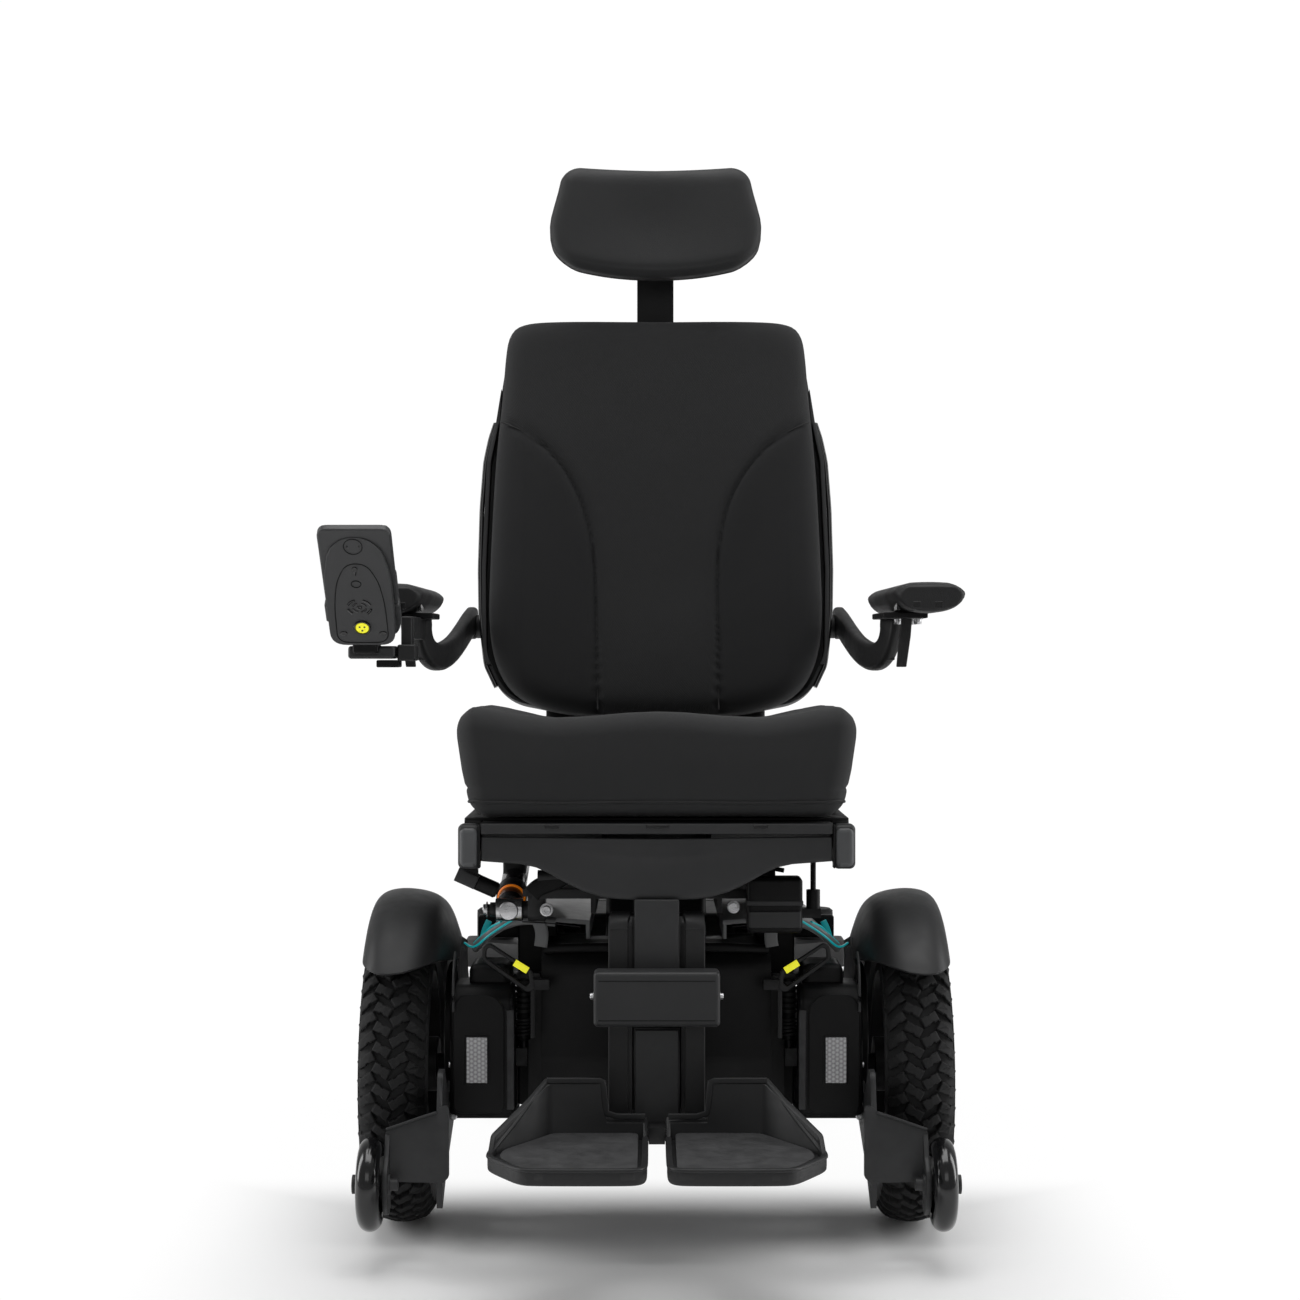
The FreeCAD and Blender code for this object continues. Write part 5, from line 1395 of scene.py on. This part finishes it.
# ------------------------------------------------------------------ drive unit covers
# section of the front shell from its lower edge round the front: y, z
MOTOR_SECTION = [(-60, 139), (-120, 139), (-128, 142), (-132.2, 150), (-133, 200), (-133, 250),
                 (-131, 261), (-125, 269), (-110, 274), (-60, 277)]
MOTOR_INNER_X, MOTOR_OUTER_X = 156.4, 225.8
# raised front panel: x, z
MOTOR_PANEL = [(166, 146), (222, 146), (222, 262), (214, 276), (178, 276), (166, 262)]


def motor_shell(side, s):
    section = smooth_line(MOTOR_SECTION)
    middle_y, middle_z = -96.0, 214.0
    steps = 26
    verts = []
    for i in range(steps + 1):
        x = MOTOR_INNER_X + (MOTOR_OUTER_X - MOTOR_INNER_X) * i / steps
        # pull the side edges in toward the middle
        pull = 4.0 * math.exp(-min(x - MOTOR_INNER_X, MOTOR_OUTER_X - x) / 2.2)
        for y, z in section:
            dy, dz = y - middle_y, z - middle_z
            length = math.hypot(dy, dz)
            verts.append((s * x, y - dy / length * pull if y < -62 else y,
                          z - dz / length * pull))
    o = mesh("motor_shell_" + side, verts, grid_faces(steps, len(section) - 1), "black")
    solidify(o, 0.0025)
    put(o, "drive_" + side, "black_plastic")


def drive_unit(side, s):
    body, arm = "drive_" + side, "support_" + side
    cover = (body, "black_plastic")
    motor_shell(side, s)
    outline = round_polygon(MOTOR_PANEL, 10, 6)
    near, far = ([(s * x, y, z) for x, z in outline] for y in (-132.4, -135.4))
    prism("motor_panel_" + side, near, far, "black", *cover, bev=1.8, seg=3)
    # strip on the inner edge
    sweep("motor_edge_" + side,
          [(s * 159.5, -132, 150), (s * 159.5, -133.2, 200), (s * 159.5, -133, 246),
           (s * 160, -131.5, 258)],
          round_rect(8, 3.6, 1.4), "mat", *cover, up=Y_AXIS, passes=2)
    box("reflector_frame_" + side, mirrored(s, 182.5, 209.5, -136.6, -134.6, 177.5, 231.5),
        "black", *cover, bev=1.2)
    box("reflector_" + side, mirrored(s, 184.6, 207.4, -137.6, -136.0, 179.6, 229.4),
        "reflector", body, "silver_metal", bev=0.8)
    box("motor_hood_" + side, mirrored(s, 161, 207, -106, -36, 278, 305), "black", *cover,
        bev=9.0, seg=6)
    for z in (196, 152):
        bolt(f"motor_screw_{z}_{side}", (s * 225.2, -116, z), (s, 0, 0), 3.2, 3, body)
    bolt("motor_screw_low_" + side, (s * 222, -126, 141), (0, -1, 0), 2.6, 3, body)
    # ribbed can behind the front panel
    for i in range(9):
        lathe(f"motor_rib_{i}_{side}", Y_AXIS, (s * 191, -52 + i * 11, 222),
              sleeve(0, 4, 25, 32), "pcoat", body, "black_metal", seg=40, closed=True)
    bolt("roller_bolt_" + side, (s * 281.6, ROLLER_Y, ROLLER_Z), (-s, 0, 0), 6.0, 9, arm)
    lathe("roller_bolt_nut_" + side, (-s, 0, 0), (s * 287.5, ROLLER_Y, ROLLER_Z),
          [(0, 0), (0, 12), (3, 12), (5, 8), (5.5, 0)], "zinc", arm, "silver_metal", seg=6)
    bolt("arm_pivot_bolt_" + side, (s * 236, -70, 150), (s, 0, 0), 8, 6, body)
    sweep("arm_front_edge_" + side,
          [(s * x, -215.0, z) for x, z in ((233, 163), (250, 157.5), (270, 150.5), (286, 145))],
          round_rect(3, 3.4, 1.2), "charcoal", arm, "charcoal_plastic", up=Y_AXIS)


ROLLER_Y, ROLLER_Z = -228, 90
# hub section: x, radius
ROLLER_HUB = [(289.5, 0), (289.5, 9), (293, 12), (294.5, 27), (306.5, 27), (308, 12),
              (311, 9), (311, 0)]


def roller(side, s):
    part = ("roller_" + side, "caster_grey")
    angles = [2 * math.pi * i / 32 for i in range(32)]
    tyre = [(s * (300.6 + 12.2 * math.cos(t)), 36.8 + 12.0 * math.sin(t)) for t in angles]
    lathe("roller_tyre_" + side, X_AXIS, (0, ROLLER_Y, ROLLER_Z), tyre, "blackgloss", *part,
          seg=80, closed=True, replaces="support_roller_" + side)
    lathe("roller_hub_" + side, X_AXIS, (0, ROLLER_Y, ROLLER_Z),
          [(s * x, r) for x, r in ROLLER_HUB], "charcoal", *part, seg=48)


for build in (drive_unit, roller):
    for side, s in SIDES:
        build(side, s)

# ------------------------------------------------------------------ front shell and shoulders
# shoulder strips: name, path, section, material, slot, up, smoothing passes
SHOULDER_STRIPS = (
    ("shoulder_teal_a",
     [(215, -60, 323), (208, -74, 320.5), (200.5, -88, 322), (187, -98, 335),
      (170, -103, 346.8), (152, -106, 358)],
     round_rect(2.4, 2.6, 1.0), "teal", "teal_gloss", Y_AXIS, 2),
    ("shoulder_nose",
     [(112, -96, 350), (130, -97.5, 352), (150, -97.5, 352.5), (172, -94, 345.5),
      (189, -87, 333), (203, -70, 318)],
     round_rect(8.5, 9, 3.4, 5), "grey_gloss", "gloss_grey", Z_AXIS, 3),
    ("shoulder_leg",
     [(131, -99, 353), (127, -100, 343), (126.5, -100.5, 333), (128, -101, 324)],
     round_rect(14.5, 6.5, 2.6), "grey_gloss", "gloss_grey", Y_AXIS, 2),
    ("shoulder_teal_c", [(190, -26, 344), (195, -26, 334), (199, -26, 316)],
     round_rect(7.0, 3.0, 1.1), "teal", "teal_gloss", Y_AXIS, 2),
    ("shoulder_seam", [(84, -102.4, 346), (120, -104, 350.5), (148, -103.6, 351.5)],
     round_rect(0.8, 1.2, 0.3), "black", "gloss_grey", Z_AXIS, 2),
    ("tie_down_label", [(155.5, -124.4, 309.5), (141, -124.4, 300.5)],
     round_rect(7.6, 1.2, 0.4), "yellow", "black_metal", Y_AXIS, 0),
)
DAMPER_X, DAMPER_Y = 148.5, -64

for s in (1, -1):
    for name, path, section, material, slot, up, passes in SHOULDER_STRIPS:
        sweep(f"{name}_{s + 1}", [(s * x, y, z) for x, y, z in path], section, material,
              "base", slot, up=up, passes=passes)
    # ribbed damper and spring beside the shell
    for i in range(6):
        lathe(f"damper_ring_{i}_{s + 1}", Z_AXIS, (s * DAMPER_X, DAMPER_Y, 246 + i * 6.4),
              sleeve(0, 3.2, 7.0, 8.9), "pcoat", "base", "black_metal", seg=28, closed=True)
    spring = []
    for i in range(120):
        t = i / 119
        a = t * 2 * math.pi * 5
        spring.append((s * DAMPER_X + 8.2 * math.cos(a), DAMPER_Y + 8.2 * math.sin(a),
                       219 + 20 * t))
    sweep(f"damper_spring_{s + 1}", spring, ring(1.5, 8), "pcoat", "base", "black_metal")
for side, s in SIDES:
    box(f"shell_return_{s + 1}", mirrored(s, 112, 157, -34, -12, 136, 350), "black",
        "base", "black_plastic", bev=3.0)
    box(f"shoulder_web_{s + 1}", mirrored(s, 140, 204, -6, 6, 322, 348), "black",
        "base", "black_plastic", bev=3.0)
    lathe(f"wheel_shroud_{s + 1}", X_AXIS, (s * 229.5, 14, 214),
          [(0, 0), (0, 76), (s * 1.4, 78), (s * 7.6, 78), (s * 9, 76), (s * 9, 0)],
          "black", "drive_" + side, "black_plastic", seg=72)
sweep("shell_top_roll",
      [(-124, -92, 320), (-90, -96, 322.5), (0, -98, 323.5), (90, -96, 322.5), (124, -92, 320)],
      round_rect(14, 10, 4.6, 5), "black", "base", "black_plastic", passes=2)

# ------------------------------------------------------------------ under the seat
# tilt actuator: its front eye, and its rise over its run toward the rear
EYE_X, EYE_Y, EYE_Z = EYE = (-162, -110, 366)
ACTUATOR_SLOPE = math.atan2(421.3 - EYE_Z, 240.0)
ACTUATOR_AXIS = (0, math.cos(ACTUATOR_SLOPE), math.sin(ACTUATOR_SLOPE))
# sleeves: name, distance from the eye, profile, material, slot
ACTUATOR_SLEEVES = (
    ("bumper", 38, [(0, 13.5), (0, 14.8), (1.5, 15.8), (9, 15.8), (10.5, 14.8), (10.5, 13.5)],
     "orange", "black_metal"),
    ("collar", 22, sleeve(0, 16, 11.6, 13.9), "brown", "silver_metal"),
    ("sleeve", 70, [(0, 13.6), (0, 14.6), (90, 14.6), (92, 13.6)], "blackgloss", "black_metal"),
)
for name, t, profile, material, slot in ACTUATOR_SLEEVES:
    place = (EYE_X, EYE_Y + t * ACTUATOR_AXIS[1], EYE_Z + t * ACTUATOR_AXIS[2])
    lathe("actuator_" + name, ACTUATOR_AXIS, place, profile, material, "tilt_tube", slot,
          seg=48, closed=True)
lathe("actuator_front_eye", X_AXIS, EYE, sleeve(-14, 14, 6.1, 12.6), "zinc",
      "tilt_tube", "silver_metal", seg=40, closed=True)
lathe("actuator_disc", (0, -1, 0), (EYE_X, -121.5, EYE_Z),
      [(0, 0), (0, 10.2), (2.2, 10.6), (4.2, 9.6), (5, 6), (5.2, 0)], "zinc",
      "tilt_tube", "silver_metal", seg=40)
for s, x in ((1, -136), (-1, -186)):
    bolt(f"actuator_pin_nut_{s + 1}", (x, EYE_Y, EYE_Z), (s, 0, 0), 6, 5, "lift_top")
bolt("actuator_stud", (-120, -131, 368), (0, -1, 0), 5, 8, "lift_top")

# control block on the outside of the right rail, turned a little
box("rail_control_hanger", (-207, -191, -197, -177, 404, 430), "black",
    "seat", "black_plastic", bev=2.0)
sweep("rail_control_block", [(-213, -187, 413.5), (-202, -187, 408.6), (-192, -187, 404)],
      round_rect(15.5, 24, 2.6), "charcoal", "seat", "black_plastic", up=Y_AXIS)
lathe("rail_control_barrel", (25, 4, -11.5), (-194, -185, 404.6),
      [(0, 0), (0, 7), (2, 8.6), (24, 8.6), (26, 7), (26, 0)], "black",
      "seat", "black_plastic", seg=32)
sweep("lift_arm_cover",
      [(-136, -126, 385), (-128, -127, 393), (-111, -128, 399), (-95, -128, 408),
       (-76, -127, 413)],
      round_rect(20, 9, 3.4, 5), "black", "lift_top", "black_metal", up=Y_AXIS, passes=2)

# platform ribs and fixings
for s in (1, -1):
    box(f"platform_rib_{s + 1}", mirrored(s, 66, 72, -128, 0, 364, 380.4), "pcoat",
        "lift_top", "black_metal")
    if s > 0:
        bolt(f"platform_bolt_{s + 1}", (s * 84, -136, 372), (0, -1, 0), 5, 4, "lift_top")
    bolt(f"pivot_nut_{s + 1}", (s * 118, 165, 392), (s, 0, 0), 8, 6, "lift_top")
    bolt(f"recline_nut_{s + 1}", (s * 134, 235, 470), (s, 0, 0), 8, 6, "seat")
    lathe(f"cross_link_{s + 1}", X_AXIS, (s * 70, -126, 404),
          [(0, 0), (0, 7), (s * 60, 7), (s * 60, 0)], "pcoat", "lift_top", "black_metal",
          seg=28)
box("lift_motor_band", (97.4, 158.6, -163.6, -131, 376, 381), "charcoal",
    "lift_top", "black_plastic", bev=0.8)
box("lift_motor_cap", (100, 156, -165.6, -160, 352, 370), "charcoal",
    "lift_top", "black_plastic", bev=1.6)
lathe("lift_motor_gland", Z_AXIS, (170, -150, 424), [(0, 0), (0, 5), (3, 5), (4, 3.4), (4, 0)],
      "zinc", "lift_top", "silver_metal", seg=24)
sweep("underseat_loom_a",
      [(120, -130, 398), (80, -138, 402), (20, -140, 398), (-40, -138, 402), (-90, -132, 396)],
      ring(3.2, 10), "cable", "lift_top", "black_metal", passes=3)
sweep("underseat_loom_b", [(140, -120, 410), (100, -110, 416), (60, -90, 408), (40, -40, 400)],
      ring(2.6, 10), "cable", "lift_top", "black_metal", passes=3)

# ------------------------------------------------------------------ rear of the base
CASTER_X = 222
box("rear_panel_line", (-120, 120, 598.5, 602.5, 268, 318), "charcoal",
    "base", "black_plastic", bev=3.0, seg=4)
for side, s in SIDES:
    box(f"rear_reflector_{s + 1}", mirrored(s, 78, 112, 602, 604.5, 284, 302), "red",
        "base", "black_plastic")
    for y, z in ((200, 331.6), (400, 331.6), (560, 330.8)):
        bolt(f"cover_screw_{s + 1}_{y}", (s * 130, y, z), Z_AXIS, 4.5, 2.4, "base", "black")
    lathe(f"swivel_cap_{s + 1}", Z_AXIS, (s * CASTER_X, 580, 286),
          [(0, 0), (0, 25.8), (3, 25.8), (6, 22), (7, 12), (7.2, 0)], "black",
          "base", "black_plastic", seg=48)
    for x, direction in ((-39, -1), (39, 1)):
        bolt(f"caster_axle_nut_{s + 1}_{x}", (s * CASTER_X + x, 625, 90), (direction, 0, 0),
             7, 5, "caster_swivel_" + side)
sweep("cover_seam", [(-148, 300, 332.3), (148, 300, 332.3)], round_rect(1.6, 1.0, .4),
      "blackgloss", "base", "black_plastic")
for i in range(6):
    y = 340 + i * 12
    box(f"cover_louvre_{i}", (-60, 60, y, y + 5, 331.4, 333.6), "charcoal",
        "base", "black_plastic", bev=0.9)


# ------------------------------------------------------------------ stage, lights, camera (metres)
def floor_material():
    """Pale ground that turns to an even glow, for the camera only, away from the chair."""
    s = Shader("pale_floor")
    s.finish(Base_Color=(0.90, 0.90, 0.90, 1), Roughness=0.55, Specular_IOR_Level=0.2)
    axes = s.axes()

    def beyond(axis, half):
        distance = s.calc("SUBTRACT", s.calc("ABSOLUTE", axis), half)
        outside = s.calc("MAXIMUM", distance, 0.0)
        return s.calc("MULTIPLY", outside, outside)
    distance = s.calc("SQRT", s.calc("ADD", beyond(axes[0], 0.27), beyond(axes[1], 0.50)))
    around = s.remap(distance, 0.0, 0.34, blend="SMOOTHSTEP")
    behind = s.remap(axes[1], -0.14, 0.08, (0.0, 0.93), blend="SMOOTHSTEP")
    camera_ray = s.add("ShaderNodeLightPath", {}).outputs["Is Camera Ray"]
    share = s.calc("MULTIPLY", s.calc("MAXIMUM", around, behind), camera_ray)
    glow = s.add("ShaderNodeEmission", {"Color": (1, 1, 1, 1), "Strength": 1.02})
    both = s.add("ShaderNodeMixShader",
                 {0: share, 1: s.surface.outputs[0], 2: glow.outputs[0]})
    output = [n for n in s.tree.nodes if n.type == "OUTPUT_MATERIAL"][0]
    s.feed(output, {0: both.outputs[0]})
    return s.material


def floor():
    """Flat ground that curves up into a wall behind the chair."""
    curve_y, radius = 2.6, 1.6
    profile = [(-6.0, 0.0), (curve_y, 0.0)]
    for i in range(13):
        a = math.pi / 2 * i / 12
        profile.append((curve_y + radius * math.sin(a), radius - radius * math.cos(a)))
    profile.append((4.2, 9.0))
    data = bpy.data.meshes.new("floor")
    data.from_pydata([(x, y, z - 0.0006) for x in (-9.0, 9.0) for y, z in profile], [],
                     grid_faces(1, len(profile) - 1))
    o = bpy.data.objects.new("floor", data)
    scene.collection.objects.link(o)
    for face in data.polygons:
        face.use_smooth = True
    data.materials.append(floor_material())
    o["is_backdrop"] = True


def area_light(name, place, aim, width, length, watts):
    light = bpy.data.lights.new(name, "AREA")
    light.energy = watts
    light.shape = "RECTANGLE"
    light.size = width
    light.size_y = length
    o = bpy.data.objects.new(name, light)
    scene.collection.objects.link(o)
    o.location = place
    o.rotation_euler = (Vector(aim) - Vector(place)).to_track_quat("-Z", "Y").to_euler()


def studio_world():
    """White to the camera, dim as a light."""
    studio = bpy.data.worlds.new("studio")
    scene.world = studio
    studio.use_nodes = True
    tree = studio.node_tree
    background = tree.nodes["Background"]
    background.inputs["Color"].default_value = (1, 1, 1, 1)
    path = tree.nodes.new("ShaderNodeLightPath")
    strength = tree.nodes.new("ShaderNodeMapRange")
    strength.inputs["To Min"].default_value = 0.26
    strength.inputs["To Max"].default_value = 1.0
    tree.links.new(path.outputs["Is Camera Ray"], strength.inputs["Value"])
    tree.links.new(strength.outputs["Result"], background.inputs["Strength"])


def camera():
    data = bpy.data.cameras.new("camera")
    data.lens = 65.0769231
    data.sensor_width = 36.0
    data.sensor_fit = "HORIZONTAL"
    data.clip_end = 60
    o = bpy.data.objects.new("camera", data)
    scene.collection.objects.link(o)
    o.location = world((-7, -2700, 652))
    o.rotation_euler = (math.radians(90), 0, 0)
    scene.camera = o


floor()
studio_world()
area_light("key_top", (0.0, -0.4, 3.3), aim=(0, 0.1, 0.3), width=2.6, length=2.2, watts=62)
area_light("left_strip", (-2.4, -0.1, 1.3), aim=(0, 0, 0.6), width=0.8, length=2.2, watts=30)
area_light("right_strip", (2.4, -0.1, 1.3), aim=(0, 0, 0.6), width=0.8, length=2.2, watts=30)
area_light("front_fill", (0.0, -3.6, 2.0), aim=(0, 0, 0.5), width=2.2, length=1.2, watts=9)
scene.view_settings.view_transform = "Standard"
scene.view_settings.look = "None"
scene.view_settings.exposure = 0.0
scene.view_settings.gamma = 1.0
camera()

BOX1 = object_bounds()


def plain(b):
    # guards against bounds that are not rows of numbers
    try:
        return [[round(float(c), 6) for c in v] for v in b]
    except TypeError:
        return str(b)


{"after_load": plain(BOX0), "before_finish": plain(BOX1)}
